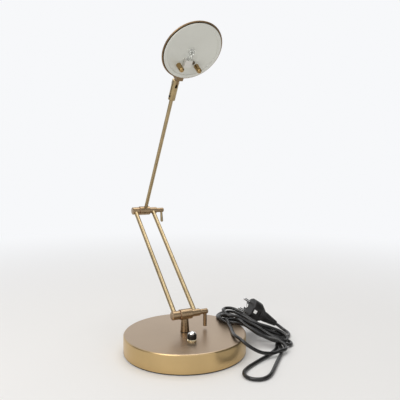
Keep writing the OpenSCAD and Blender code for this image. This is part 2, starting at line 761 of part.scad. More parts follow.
module collar_screw() color(grey) upper_arm_frame() translate([upper_rod_x, 0, 0]) collar_screw_place()
    difference() {
        cylinder(h = neck_r - spindle_r + 0.3, r = 2);
        translate([0, 0, neck_r - spindle_r]) cube([1, 8, 2], center = true);
    }

module neck_spindle() color(steel) upper_arm_frame() translate([upper_rod_x, 0, 0]) {
    translate([0, 0, collar_s + rod_in_collar + 0.2])
        cylinder(h = collar_len - rod_in_collar - 0.2 + fork_floor + face_gap, r = spindle_r);
    translate([0, 0, fork_s + fork_floor + 2 * face_gap]) cylinder(h = spindle_head_t, r = spindle_head_r);
}

module neck_fork() color(brass) neck_frame() difference() {
    translate([0, 0, fork_s + face_gap]) rotate_extrude()
        polygon([[0, 0], [neck_r, 0], [neck_r, fork_len - 0.6], [neck_r - 0.6, fork_len], [0, fork_len]]);
    translate([0, 0, fork_s - 1]) cylinder(h = 20, r = spindle_r + run);
    translate([0, 0, fork_s + fork_floor])
        cylinder(h = keyhole_s - fork_s - fork_floor, r = spindle_head_r + 0.3);
    translate([-slot_w / 2, -10, keyhole_s]) cube([slot_w, 20, fork_len]);
    translate([0, 0, keyhole_s]) rotate([90, 0, 0]) cylinder(h = 20, r = keyhole_r, center = true);
    translate([0, 0, pin_s]) x_bar(-10, 10, pin_r + fit);
    translate([0, 0, pin_s]) x_bar(neck_r - 1.2, 10, pin_head_r + 0.2);
    translate([0, 0, pin_s]) x_bar(-10, -neck_r + 1.2, pin_head_r + 0.2);
}

module tilt_pin() color(steel) neck_frame() translate([0, 0, pin_s]) {
    x_bar(-neck_r + 0.2, neck_r - 1.2, pin_r);
    x_bar(neck_r - 1.2, neck_r - 1.2 + pin_head_t, pin_head_r);
}

module tilt_pin_nut() color(steel) neck_frame() translate([0, 0, pin_s]) difference() {
    x_bar(-neck_r + 0.2, -neck_r + 1.2, pin_head_r);
    x_bar(-neck_r - 1, -neck_r + 3, pin_r + fit);
}

// ---------------------------------------------------------------- head

// Solid form of the shell's domed back, moved outwards by grow
module shell_cap(grow) {
    intersection() {
        translate([0, 0, cap_mid_z]) sphere(r = cap_r + grow);
        translate([0, 0, -shell_depth - 10]) cylinder(h = shell_depth + 10, r = bead_mid_r);
    }
}

module shell_bead(grow) {
    rotate_extrude() translate([bead_mid_r, 0]) circle(r = bead_r + grow);
}

// Fork tongue and block under the dish, and a strap that follows the shell's back up to the studs
module head_bracket() color(dark_brass) difference() {
    union() {
        tilt_frame() {
            x_bar(-tongue_t / 2, tongue_t / 2, tongue_r);
            translate([-tongue_t / 2, -tongue_r, 0]) cube([tongue_t, 2 * tongue_r, knuckle_z0 + 1]);
            translate([-strap_w / 2, -knuckle_front, knuckle_z0])
                cube([strap_w, knuckle_front + knuckle_back, knuckle_h]);
        }
        dish_frame() intersection() {
            shell_cap(strap_t);
            union() {
                translate([-strap_w / 2, -bead_mid_r - 1, -40])
                    cube([strap_w, strap_top_y + bead_mid_r + 1, 38]);
                translate([-strap_wing_w / 2, dome_nut_y - 6, -40])
                    cube([strap_wing_w, strap_top_y - dome_nut_y + 6, 38]);
            }
        }
    }
    dish_frame() shell_cap(fit);
    dish_frame() shell_bead(fit);
    dish_frame() at_dome_nuts() translate([0, 0, -60]) cylinder(h = 60, r = head_stud_r + fit);
    tilt_frame() x_bar(-20, 20, pin_r + run);
}

module head_shell() color(bronze) dish_frame() {
    difference() {
        shell_cap(0);
        translate([0, 0, cap_mid_z]) sphere(r = cap_r - shell_t);
        at_dome_nuts() translate([0, 0, -60]) cylinder(h = 60, r = head_stud_r + fit);
    }
    shell_bead(0);
}

// Half outline of the reflector: a flat rim with a turned edge, a step and a shallow bowl
module reflector_half_outline() {
    bowl_a = asin(bowl_rim_r / bowl_r);
    polygon(concat(
        arc([0, bowl_mid_z], bowl_r, -90, -90 + bowl_a, 12),
        [[bowl_rim_r + 0.4, rim_z - 0.2], [reflector_r - 0.6, rim_z], [reflector_r, rim_z - 0.5],
            [reflector_r, rim_z - rim_turn_h], [reflector_r - reflector_t, rim_z - rim_turn_h],
            [reflector_r - reflector_t, rim_z - reflector_t], [bowl_rim_r + 1, rim_z - 0.2 - reflector_t]],
        arc([0, bowl_mid_z], bowl_r + reflector_t, -90 + bowl_a, -90, 12)
    ));
}

// Puts its children at the screw that holds the plate of the lamp holder
module at_holder_screw() { translate([holder_screw_x, holder_screw_y, 0]) children(); }

module reflector() color(white) dish_frame() difference() {
    union() {
        rotate_extrude($fn = 96) reflector_half_outline();
        at_dome_nuts() translate([0, 0, nut_seat_z - nut_pad_h]) cylinder(h = nut_pad_h, r = nut_pad_r);
        at_holder_screw() translate([0, 0, holder_z0])
            cylinder(h = holder_screw_z - holder_z0, r = holder_pad_r);
    }
    at_dome_nuts() translate([0, 0, -60]) cylinder(h = 80, r = head_stud_r + fit);
    at_holder_screw() translate([0, 0, holder_z0 - 1]) cylinder(h = 10, r = holder_screw_shank_r + fit);
    translate([
        holder_x - holder_w / 2 - holder_window_gap, holder_y - holder_l / 2 - holder_window_gap, -20
    ])
        cube([holder_w + 2 * holder_window_gap, holder_l + 2 * holder_window_gap, 40]);
}

module dome_nuts() color(brass) dish_frame() at_dome_nuts() difference() {
    translate([0, 0, nut_seat_z]) {
        cylinder(h = dome_nut_h - dome_nut_r, r = dome_nut_r);
        translate([0, 0, dome_nut_h - dome_nut_r]) sphere(r = dome_nut_r);
    }
    translate([0, 0, -1]) cylinder(h = stud_top_z + 1.5, r = head_stud_r + fit);
}

// Studs from the bracket's strap to the dome nuts, each with a head behind and a spacer in the shell
module head_studs() color(brass) dish_frame() {
    at_dome_nuts() translate([0, 0, stud_back_z + 1])
        cylinder(h = stud_top_z - stud_back_z - 1, r = head_stud_r);
    difference() {
        at_dome_nuts() translate([0, 0, stud_back_z]) cylinder(h = 8, r = stud_head_r);
        shell_cap(strap_t + fit);
    }
    intersection() {
        at_dome_nuts() translate([0, 0, -shell_depth])
            cylinder(h = shell_depth + nut_seat_z - nut_pad_h - fit, r = 3);
        translate([0, 0, cap_mid_z]) sphere(r = cap_r - shell_t - fit);
    }
}

// ---------------------------------------------------------------- lamp holder

module holder_plate() color(steel) dish_frame() translate([0, 0, holder_z0 - holder_plate_t]) difference() {
    union() {
        translate([holder_x - holder_w / 2, holder_y - holder_l / 2, 0])
            cube([holder_w, holder_l, holder_plate_t]);
        translate([holder_x, holder_screw_y - holder_pad_r, 0])
            cube([holder_screw_x - holder_x, 2 * holder_pad_r, holder_plate_t]);
        at_holder_screw() cylinder(h = holder_plate_t, r = holder_pad_r);
    }
    at_holder_screw() translate([0, 0, -1]) cylinder(h = 4, r = holder_screw_shank_r + fit);
}

module lamp_holder() color(white) dish_frame() difference() {
    translate([holder_x - holder_w / 2, holder_y - holder_l / 2, holder_z0])
        cube([holder_w, holder_l, holder_h]);
    capsule_pin_places() cylinder(h = 9, r = capsule_pin_r + fit);
}

// Repeats its children at the capsule's two pins, with +Z pointing into the holder
module capsule_pin_places() {
    for (side = [-1, 1])
        translate([holder_x + side * pin_pitch / 2, holder_front_y + 0.3, capsule_z])
            rotate([90, 0, 0]) children();
}

// Screw with a dark head, beside the holder
module holder_screw() color(black) dish_frame() at_holder_screw() {
    translate([0, 0, holder_screw_z]) cylinder(h = 1.8, r = holder_screw_r);
    translate([0, 0, holder_z0 - 3])
        cylinder(h = holder_screw_z - holder_z0 + 3.5, r = holder_screw_shank_r);
}

module capsule() color(glass) dish_frame() translate([holder_x, holder_front_y + 0.3, capsule_z]) {
    translate([-pinch_w / 2, 0, -pinch_t / 2]) cube([pinch_w, pinch_l, pinch_t]);
    translate([0, pinch_l - 1, 0]) rotate([-90, 0, 0])
        cylinder(h = capsule_l - capsule_r - pinch_l + 1, r = capsule_r);
    translate([0, capsule_l - capsule_r, 0]) sphere(r = capsule_r);
}

module capsule_pins() color(steel) dish_frame() capsule_pin_places() cylinder(h = 7, r = capsule_pin_r);

// ---------------------------------------------------------------- mains cord and plug

module mains_cord() color(black) cord_tube(mains_route);
module cord_front_strand() color(black) cord_tube(front_route);
module cord_floor_loop() color(black) cord_tube(loop_route);
module cord_tail() color(black) cord_tube(tail_route);

// The hank: a flat bundle that lies on the base and slopes down over its edge
module cord_hank() color(black) hank_frame() translate([0, hank_shift, 0]) rotate([90, 0, 0])
    linear_extrude(hank_w, center = true) polygon(concat(
        arc([0, hank_bend[1]], hank_t / 2, 90, 270, 10),
        [hank_bend + hank_t / 2 / cos(hank_slope / 2) * [sin(hank_slope / 2), -cos(hank_slope / 2)]],
        arc(hank_end, hank_t / 2, hank_slope - 90, hank_slope + 90, 10),
        arc(hank_bend, hank_t / 2, hank_slope + 90, 90, 3)
    ));

// The plug's frame has +Z out of its face and X along its pair of pins
module plug_body() color(black) plug_frame() difference() {
    union() {
        intersection() {
            translate([0, 0, -plug_body_l]) rotate_extrude()
                polygon([[0, 0], [6.5, 0], [9, 4], [plug_r - 3, 14], [plug_r, 20], [plug_r, plug_body_l - 1],
                    [plug_r - 1, plug_body_l], [0, plug_body_l]]);
            translate([-plug_r, -plug_r + 1.5, -plug_body_l])
                cube([2 * plug_r, 2 * plug_r - 3, plug_body_l]);
        }
        translate([0, 0, -plug_body_l - plug_relief_l])
            cylinder(h = plug_relief_l + 2, r1 = cord_d / 2 + 0.9, r2 = 6.2);
    }
    for (side = [-1, 1])
        translate([side * plug_pin_pitch / 2, 0, -12]) cylinder(h = 20, r = plug_pin_r + fit);
    translate([0, 10, -16]) cylinder(h = 20, r = 2.9 + fit);
    for (side = [-1, 1])
        translate([0, side * (plug_r - 1.5 + 10 - 2), -10]) cube([9, 20, 32], center = true);
}

module plug_pins() color(steel) plug_frame() for (side = [-1, 1])
    translate([side * plug_pin_pitch / 2, 0, -12]) {
        cylinder(h = 12 + plug_pin_len - 2, r = plug_pin_r);
        translate([0, 0, 12 + plug_pin_len - 2]) cylinder(h = 2, r1 = plug_pin_r, r2 = plug_pin_r - 1);
    }

// Earth contacts: the sleeve of the hole in the face, and a clip on each side
module plug_earth_parts() color(steel) plug_frame() {
    difference() {
        translate([0, 10, -14]) cylinder(h = 14.3, r = 2.9);
        translate([0, 10, -15]) cylinder(h = 17, r = 2.3);
    }
    for (side = [-1, 1])
        translate([-3, side * (plug_r - 3) - 0.5, -22]) cube([6, 1, 19]);
}

base_cover();
bottom_plate();
foot_pad();
ballast_ring();
ballast_screws();
transformer_core();
transformer_winding();
terminal_block();
cord_clamp();
cord_bush();
switch_ring_nut();
switch_housing();
switch_button();
swivel_washer();
stem();
stem_tube();
stem_washer();
stem_nut();
lower_tee();
left_rod();
right_rod();
lower_left_hub();
lower_right_hub();
upper_left_hub();
upper_right_hub();
lower_hinge_bolt();
upper_hinge_bolt();
lower_hinge_washers();
upper_hinge_washers();
lower_clamp_nut();
lower_clamp_handle();
upper_clamp_nut();
upper_clamp_handle();
upper_tee();
upper_rod();
neck_collar();
collar_screw();
neck_spindle();
neck_fork();
tilt_pin();
tilt_pin_nut();
head_bracket();
head_shell();
reflector();
dome_nuts();
head_studs();
holder_plate();
lamp_holder();
holder_screw();
capsule();
capsule_pins();
mains_cord();
cord_hank();
cord_front_strand();
cord_floor_loop();
cord_tail();
plug_body();
plug_pins();
plug_earth_parts();
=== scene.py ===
# %% [markdown]
# # A desk lamp with a swing arm and a tilting dish
#
# The lamp is a heavy round base, two slim rods side by side, one upper rod and a small dish
# with a halogen capsule. Its metal is gilt and satin, and a black mains cord lies in a bundle
# beside it. The solid parts are already built and packed. This script gives every part its
# finish, lays the cord and adds the small parts that only looks need.

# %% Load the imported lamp
from math import acos, cos, pi, radians, sin

import bmesh
import bpy
import numpy as np
from mathutils import Matrix, Vector


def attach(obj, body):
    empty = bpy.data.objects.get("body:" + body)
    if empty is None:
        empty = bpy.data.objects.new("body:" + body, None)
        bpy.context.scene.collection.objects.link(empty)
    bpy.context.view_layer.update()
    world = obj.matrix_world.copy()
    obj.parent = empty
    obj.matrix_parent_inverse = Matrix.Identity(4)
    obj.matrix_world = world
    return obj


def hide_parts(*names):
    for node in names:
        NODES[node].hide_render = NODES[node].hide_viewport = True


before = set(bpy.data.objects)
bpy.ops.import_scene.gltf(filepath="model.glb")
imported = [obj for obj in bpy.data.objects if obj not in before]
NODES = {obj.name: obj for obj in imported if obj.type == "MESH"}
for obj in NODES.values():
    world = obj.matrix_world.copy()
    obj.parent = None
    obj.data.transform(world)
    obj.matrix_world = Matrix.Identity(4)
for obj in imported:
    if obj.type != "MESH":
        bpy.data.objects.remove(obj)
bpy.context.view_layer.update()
MM = 0.001

# %% Helpers for new objects


def add_object(name, data):
    """A new object, linked into the scene."""
    made = bpy.data.objects.new(name, data)
    bpy.context.scene.collection.objects.link(made)
    return made


def mesh_from(name, form):
    """A mesh from a bmesh, which is freed."""
    mesh = bpy.data.meshes.new(name)
    form.to_mesh(mesh)
    form.free()
    return mesh


print("object helpers ready")

# %% [markdown]
# ## The camera
#
# A camera is a real lens: its focal length and its place decide how strongly near parts grow.
# Here it stands a little above the hinge between the arms, and tips down by a few degrees. Its
# direction is built from two angles, which is easier to read than a list of three rotations.

# %% Camera
CAMERA_PLACE = (-0.3267, -0.7006, 0.2990)
TURN, TIP = radians(26.84), radians(3.82)
lens = bpy.data.cameras.new("lens")
lens.lens, lens.sensor_width = 43.2, 36.0
lens.clip_start = 0.02
camera = add_object("camera", lens)
camera.location = CAMERA_PLACE
camera.rotation_euler = (pi / 2 - TIP, 0, -TURN)
bpy.context.scene.camera = camera
bpy.context.scene.view_settings.view_transform = "Standard"
print("camera looks along", [round(v, 3) for v in (sin(TURN), cos(TURN))])

# %% [markdown]
# ## The cord's way
#
# A mains cord can't be drawn freely: it keeps its length and its thickness, its core resists
# tight bends, and every loop of the bundle lies on the one below. One way is a rope
# simulation, and another is to place each point by hand. Here the way is laid out in a few
# stretches, as a person folds a cord, and a short settling step then pushes it off itself, off
# the base and off the table.
#
# The bundle is measured in its own directions: along it, across it, and by layer.

# %% Lay out the stretches of cord, in millimetres
CORD_D = 5.5
STEP = 5.0  # between two points that settle
CLEAR = 0.2  # room asked for between two stretches
BUNDLE_START = (82.0, 40.0)
BUNDLE_ALONG, BUNDLE_ACROSS = (0.6626, -0.7490), (0.7490, 0.6626)
ON_BASE, ON_TABLE = 34.0, 3.0
LAYER, SLOPE, EDGE = 4.8, 0.372, 46.0


def in_bundle(along, across, layer=0.0):
    """A point of the bundle: it lies on the base, and slopes to the table past the edge."""
    low = ON_TABLE + LAYER * layer
    height = ON_BASE + LAYER * layer - SLOPE * max(0.0, along - EDGE)
    x = BUNDLE_START[0] + BUNDLE_ALONG[0] * along + BUNDLE_ACROSS[0] * across
    y = BUNDLE_START[1] + BUNDLE_ALONG[1] * along + BUNDLE_ACROSS[1] * across
    return (x, y, max(height, low))


round_the_base = [
    (18.6, 98.3, 18), (22.3, 118, 18), (27, 133, 15), (37, 144, 9), (54, 148, 4.5), (79, 141, 3),
    (106, 121, 3), (130, 94, 3), (149, 62, 3), (161, 30, 3), (166, 2, 3), (164, -24, 3),
    (157, -44, 3), (148, -60, 3), (137, -71, 3), (125, -77, 3),
]
loop_on_the_table = [
    (116, -80, 3), (100, -88, 3), (83, -97, 3), (66, -107, 3), (50, -117.5, 3), (36, -127.8, 3),
    (30.6, -138, 3), (33.8, -149, 3), (44, -154.4, 3), (55, -151, 3), (68, -141.5, 3),
    (86, -127, 3), (106, -110, 3), (123, -93, 3), (137, -75, 3), (145, -61, 5), (149, -50, 9),
]
folds = [in_bundle(*p) for p in [
    # first run up onto the base, and its fold
    (100, -14), (85, -17.5), (70, -18), (55, -17), (42, -15), (30, -14),
    (20, -18), (11, -16), (6, -7), (10, 3), (19, 5),
    # second run, down to the table, and its fold
    (29, -1), (42, -7), (58, -11), (76, -12), (94, -12), (108, -13), (118, -16),
    (128, -17), (135, -9), (134, 3), (125, 9),
    # third run, up
    (112, 5), (94, -3, 0.1), (76, -5.5, 0.1), (58, -5, 0.3), (44, -3, 0.8), (32, 2, 1.2),
    (22, 6, 1.5), (13, 4, 1.6), (10, -6, 1.4), (18, -12, 1.1),
    # fourth run, down
    (30, -11, 1), (44, -10, 1), (62, -10, 1), (80, -10, 1), (98, -10, 1), (111, -12, 1),
    (121, -12, 1.1), (129, -4, 1.1), (127, 7, 1.1), (117, 10, 1),
    # fifth run, up
    (104, 4, 1), (88, -1, 1.1), (70, -2, 1.2), (52, 0, 1.3), (36, 6, 1.6),
]]
near_side = [
    (108, 36, 41), (101, 46, 37.5), (92, 49, 35), (84, 45, 34), (83, 35, 34), (88, 25, 34),
    (92, 15, 34), (96, 4, 34), (100, -9, 34), (103, -21, 32), (110, -33, 26.5), (118, -44, 21),
    (128, -54, 15), (139, -61, 11), (147, -68, 9), (149, -77, 8.7), (142.5, -84.5, 8.6),
    (130, -83.5, 8.6),
]
front_strand = [
    (118, -83, 8.8), (109, -85, 9.6), (96.5, -88, 13), (84, -91, 18), (73, -93.5, 23.5),
    (64, -93, 29.5), (58, -87, 34), (56.5, -77, 35.5), (59, -65, 34.5), (64, -52, 34.5),
    (69.5, -37, 34.2), (74.5, -23, 34.5), (80, -7, 35), (85, 9, 36.5),
]
raised_loop = [
    (87, 23, 41), (90, 34, 46), (96, 42, 49), (104, 41, 48), (109, 32, 44),
    (114, 21, 41), (120, 9, 39), (127, -2, 36), (135, -12, 32), (144, -20, 27),
    (154, -27, 21), (164, -33, 14),
]
tail_to_plug = [
    (174, -37, 8), (184, -34, 4.5), (192, -26, 3), (196, -14, 3), (197, -3, 4), (194.5, 5.5, 8.4),
    (189.9, 10.9, 12.4),
]
way = np.array(round_the_base + loop_on_the_table + folds + near_side + front_strand
               + raised_loop + tail_to_plug, float)
print("hand-placed points:", len(way))

# %% Draw one smooth line through the points


def smooth_line(points, step=1.0):
    """Catmull-Rom curve through the points, with knots by the root of each distance."""
    ends = np.vstack([2 * points[0] - points[1], points, 2 * points[-1] - points[-2]])
    line = []
    for i in range(len(points) - 1):
        p = ends[i:i + 4]
        t = np.concatenate([[0], np.cumsum(np.linalg.norm(np.diff(p, axis=0), axis=1) ** 0.5)])
        count = max(2, int(np.linalg.norm(p[2] - p[1]) / step))
        u = np.linspace(t[1], t[2], count, endpoint=False)[:, None]

        def mix(a, b, low, high):
            return (high - u) / (high - low) * a + (u - low) / (high - low) * b

        a = [mix(p[k], p[k + 1], t[k], t[k + 1]) for k in range(3)]
        b = [mix(a[k], a[k + 1], t[k], t[k + 2]) for k in range(2)]
        line.append(mix(b[0], b[1], t[1], t[2]))
    return np.vstack(line + [points[-1:]])


def even_steps(line, step):
    """The same line in equal steps."""
    run = np.concatenate([[0], np.cumsum(np.linalg.norm(np.diff(line, axis=0), axis=1))])
    marks = np.linspace(0, run[-1], int(round(run[-1] / step)) + 1)
    return np.stack([np.interp(marks, run, line[:, k]) for k in range(3)], 1)


laid = even_steps(smooth_line(way), STEP)
print("laid out:", len(laid), "points,", STEP, "mm apart")

# %% Keep the cord out of the base, the table and the plug
PLUG_FACE = np.array([136.0, 18.0, 48.0])
PLUG_TILT, PLUG_HEADING, PLUG_ROLL = acos(0.548), radians(172.5), radians(-2)
PLUG_OUT = np.array([sin(PLUG_TILT) * cos(PLUG_HEADING), sin(PLUG_TILT) * sin(PLUG_HEADING),
                     cos(PLUG_TILT)])
BASE_R, BASE_H, BASE_EDGE = 100.0, 31.0, 2.5
# distance behind the plug's face, and the plug's radius there
PLUG_AT = [-1, 0, 16, 22, 32, 36, 38, 65]
PLUG_R = [0, 18.5, 18.5, 15.5, 9, 6.5, 6.2, 3.7]
PLUG_END = 63


def keep_out(points, r=CORD_D / 2 + CLEAR / 2):
    """Points of the cord's middle, pushed out of what it lies on."""
    p = points.copy()
    from_axis = np.maximum(np.hypot(p[:, 0], p[:, 1]), 1e-6)
    side, top = from_axis - (BASE_R - BASE_EDGE), p[:, 2] - (BASE_H - BASE_EDGE)
    side_out, top_out = np.maximum(side, 0), np.maximum(top, 0)
    corner = np.maximum(np.hypot(side_out, top_out), 1e-9)
    deep = r - (np.hypot(side_out, top_out) + np.minimum(np.maximum(side, top), 0) - BASE_EDGE)
    outside = np.hypot(side_out, top_out) > 1e-9
    push_side = np.where(outside, side_out / corner, side > top) * deep * (deep > 0)
    push_top = np.where(outside, top_out / corner, side <= top) * deep * (deep > 0)
    p[:, 0] += push_side * points[:, 0] / from_axis
    p[:, 1] += push_side * points[:, 1] / from_axis
    p[:, 2] = np.maximum(p[:, 2] + push_top, r)
    behind = (PLUG_FACE - p) @ PLUG_OUT
    off = p - PLUG_FACE + np.outer(behind, PLUG_OUT)
    far = np.maximum(np.linalg.norm(off, axis=1), 1e-6)
    room = np.interp(behind, PLUG_AT, PLUG_R) + r
    inside = (behind > -r) & (behind < PLUG_END) & (far < room)
    p[inside] += (off / far[:, None] * (room - far)[:, None])[inside] * 0.5
    return p


# %% [markdown]
# ## Settling the bundle
#
# Each round lets the cord sink a little, repairs what that broke, and ends with one stiff
# solve, which bends the whole line as a real cord would bend. A repair asks for three things:
# equal steps, bends no tighter than a limit, and a cord's thickness between any two
# stretches. This narrow bundle can't have all three: some folds stay tighter than the limit,
# and some strands press into each other. There are no random numbers, so each run is alike.

# %% Settle
TIGHTEST = 15.5  # the bend radius that is asked for
BEND_SPANS = (3, 4, 6, 8)  # steps over which a bend is measured
LOOSE, FIXED, STIFF = 0.05, 50.0, 8.0  # hold on a point, hold on the ends, stiffness
ENDS = (5, 3)  # points that stay at the base and at the plug
SINK, EVEN_OUT, PUSH = 0.1, 0.03, 1.4
ROUNDS, LAST_ROUNDS = 150, 40


def spread(points, i, j, push):
    """Moves pairs of points apart by push, each point by the mean of what its pairs ask."""
    total, times = np.zeros_like(points), np.zeros(len(points))
    np.add.at(total, i, push)
    np.add.at(total, j, -push)
    np.add.at(times, i, 1)
    np.add.at(times, j, 1)
    return total / np.maximum(times, 1)[:, None]


def repair(q, start, times):
    """Equal steps, wide bends and room between the stretches, asked for in turn."""
    number = np.arange(len(q))
    not_neighbours = np.triu(np.abs(number[:, None] - number[None]) >= 4)
    for _ in range(times):
        for odd in (0, 1):
            a, b = q[odd:-1:2], q[odd + 1::2]
            gap = b - a
            long = np.linalg.norm(gap, axis=1, keepdims=True)
            fix = gap * (1 - STEP / long) * 0.5
            a += fix
            b -= fix
        total, hits = np.zeros_like(q), np.zeros(len(q))
        for k in BEND_SPANS:
            least = 2 * TIGHTEST * np.sin(min(k * STEP / (2 * TIGHTEST), pi / 2))
            gap = q[k:] - q[:-k]
            long = np.linalg.norm(gap, axis=1)
            hit = long < least
            fix = gap / np.maximum(long, 1e-6)[:, None] * ((least - long) * 0.5 * hit)[:, None]
            total[k:] += fix
            total[:-k] -= fix
            hits[k:] += hit
            hits[:-k] += hit
        q += total / np.maximum(hits, 1)[:, None]
        apart = q[:, None] - q[None]
        far = np.sqrt((apart ** 2).sum(2))
        i, j = np.nonzero((far < CORD_D + CLEAR) & not_neighbours)
        if len(i):
            way_out = apart[i, j] / np.maximum(far[i, j], 1e-6)[:, None]
            short = (CORD_D + CLEAR - far[i, j]) * 0.5
            q += PUSH * spread(q, i, j, way_out * short[:, None])
        q = keep_out(q)
        q[:ENDS[0]], q[-ENDS[1]:] = start[:ENDS[0]], start[-ENDS[1]:]
    return q


def settle(start):
    """The line after all the rounds. Its two ends stay where they are."""
    n = len(start)
    bend = np.zeros((n - 2, n))
    for k in range(n - 2):
        bend[k, k:k + 3] = (1, -2, 1)
    hold = np.full(n, LOOSE)
    hold[:ENDS[0]] = hold[-ENDS[1]:] = FIXED
    solve = np.linalg.inv(np.diag(hold) + STIFF * bend.T @ bend + np.eye(n))
    p = start.copy()
    for _ in range(ROUNDS):
        q = p.copy()
        q[:, 2] -= SINK
        p = solve @ (hold[:, None] * start + repair(q, start, 3))
    for _ in range(LAST_ROUNDS):
        q = p.copy()
        q[2:-2] -= EVEN_OUT * (p[:-4] - 4 * p[1:-3] + 6 * p[2:-2] - 4 * p[3:-1] + p[4:])
        p = repair(q, start, 2)
    return p


settled = settle(laid)
cord_line = even_steps(smooth_line(settled, 0.5), 2.5) * MM
cord_length = float(np.linalg.norm(np.diff(cord_line, axis=0), axis=1).sum())
print("the cord is", round(cord_length, 3), "m long")

# %% Make the cord


def as_mesh(name, made, turn=None):
    """The evaluated object as a plain mesh with its place in it; the first object goes away."""
    graph = bpy.context.evaluated_depsgraph_get()
    mesh = bpy.data.meshes.new_from_object(made.evaluated_get(graph), depsgraph=graph)
    bpy.data.objects.remove(made)
    mesh.name = name
    if turn is not None:
        mesh.transform(turn)
    form = bmesh.new()
    form.from_mesh(mesh)
    bmesh.ops.remove_doubles(form, verts=form.verts, dist=1e-6)
    bmesh.ops.recalc_face_normals(form, faces=form.faces)
    form.to_mesh(mesh)
    form.free()
    return add_object(name, mesh)


def tube(name, line, r):
    """A round tube along a line: a spline with a round bevel, made into a mesh."""
    curve = bpy.data.curves.new(name, "CURVE")
    curve.dimensions = "3D"
    curve.bevel_depth, curve.bevel_resolution = r, 3
    curve.use_fill_caps = True
    spline = curve.splines.new("POLY")
    spline.points.add(len(line) - 1)
    spline.points.foreach_set("co", np.c_[line, np.ones(len(line))].ravel())
    spline.use_smooth = True
    return as_mesh(name, add_object(name, curve))


cord = tube("mains_lead", cord_line, CORD_D / 2 * MM)
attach(cord, "base")
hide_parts("mains_cord", "cord_hank", "cord_front_strand", "cord_floor_loop", "cord_tail")
print("cord made of", len(cord_line), "points")

# %% [markdown]
# ## Studio
#
# The lamp stands on a pale table that runs back into a white wall. The table is a plain sheet
# whose colour fades into the white of the world, so the horizon is a soft band. Rays from the
# camera, reflections and glass see the world at full white, while the light that it throws on
# the lamp is weaker, so that the white doesn't wash out the metal.

# %% A small helper for node trees


def node(tree, kind, sockets=None, **settings):
    """A new node: settings are its own values, sockets its inputs, by number or by link."""
    made = tree.nodes.new(kind)
    for key, value in settings.items():
        setattr(made, key, value)
    for key, value in (sockets or {}).items():
        if isinstance(value, bpy.types.NodeSocket):
            tree.links.new(value, made.inputs[key])
        else:
            made.inputs[key].default_value = value
    return made


def math_of(tree, operation, a, b=0.0, clamp=False):
    """The result of one Math node."""
    made = node(tree, "ShaderNodeMath", {0: a, 1: b}, operation=operation)
    made.use_clamp = clamp
    return made.outputs[0]


def mixed(tree, factor, a, b):
    """One colour faded into another."""
    made = node(tree, "ShaderNodeMix", data_type="RGBA")
    for name, value in (("Factor_Float", factor), ("A_Color", a), ("B_Color", b)):
        socket = next(s for s in made.inputs if s.identifier == name)
        if isinstance(value, bpy.types.NodeSocket):
            tree.links.new(value, socket)
        else:
            socket.default_value = value if name == "Factor_Float" else (*value[:3], 1.0)
    return next(s for s in made.outputs if s.identifier == "Result_Color")


def ranged(tree, value, low, high, to=(0.0, 1.0), **settings):
    """A value moved from low..high into another range, and kept inside it."""
    return node(tree, "ShaderNodeMapRange",
                {"Value": value, "From Min": low, "From Max": high,
                 "To Min": to[0], "To Max": to[1]}, **settings).outputs[0]


def noise(tree, place, scale, detail=2.0, roughness=0.5):
    """The grey value of a noise texture."""
    return node(tree, "ShaderNodeTexNoise",
                {"Vector": place, "Scale": scale, "Detail": detail,
                 "Roughness": roughness}).outputs[0]


def facing_up(tree, low, high):
    """0 to 1 as the surface turns upwards, between two heights of its normal."""
    normal = node(tree, "ShaderNodeNewGeometry").outputs["Normal"]
    return ranged(tree, node(tree, "ShaderNodeSeparateXYZ", {0: normal}).outputs["Z"], low, high)


def cleared_tree(owner):
    """The empty node tree of a material or a world."""
    owner.use_nodes = True
    owner.node_tree.nodes.clear()
    return owner.node_tree


print("helpers ready")

# %% Table and world
WHITE = (0.930, 0.938, 0.955)
TABLE_NEAR = (0.818, 0.815, 0.812)
WORLD_LIGHT = 0.52
FADE_FROM, FADE_TO = 0.12, 1.55  # metres from the lamp


def seen_directly(tree):
    """1 for rays of the camera, of reflections and through glass, and 0 for the rest."""
    path = node(tree, "ShaderNodeLightPath")
    seen = math_of(tree, "ADD", path.outputs["Is Camera Ray"], path.outputs["Is Glossy Ray"])
    return math_of(tree, "ADD", seen, path.outputs["Is Transmission Ray"], clamp=True)


world = bpy.data.worlds.new("studio")
bpy.context.scene.world = world
tree = cleared_tree(world)
lit = node(tree, "ShaderNodeBackground",
           {"Color": (1.0, 0.985, 0.965, 1), "Strength": WORLD_LIGHT})
shown = node(tree, "ShaderNodeBackground", {"Color": (*WHITE, 1), "Strength": 1.0})
both = node(tree, "ShaderNodeMixShader",
            {0: seen_directly(tree), 1: lit.outputs[0], 2: shown.outputs[0]})
node(tree, "ShaderNodeOutputWorld", {"Surface": both.outputs[0]})

paper = bpy.data.materials.new("table_paper")
tree = cleared_tree(paper)
place = node(tree, "ShaderNodeTexCoord").outputs["Object"]
away = node(tree, "ShaderNodeVectorMath", {0: place}, operation="LENGTH").outputs["Value"]
fade = ranged(tree, away, FADE_FROM, FADE_TO, interpolation_type="SMOOTHSTEP")
mottle = node(tree, "ShaderNodeBump", {"Height": noise(tree, place, 900.0), "Strength": 0.05,
                                       "Distance": 0.0003})
sheet = node(tree, "ShaderNodeBsdfPrincipled",
             {"Base Color": (*TABLE_NEAR, 1), "Roughness": 0.62, "Specular IOR Level": 0.25,
              "Normal": mottle.outputs[0]})
wall = node(tree, "ShaderNodeEmission", {"Color": (*WHITE, 1), "Strength": 1.0})
far = math_of(tree, "MULTIPLY", fade, seen_directly(tree))
both = node(tree, "ShaderNodeMixShader", {0: far, 1: sheet.outputs[0], 2: wall.outputs[0]})
node(tree, "ShaderNodeOutputMaterial", {"Surface": both.outputs[0]})

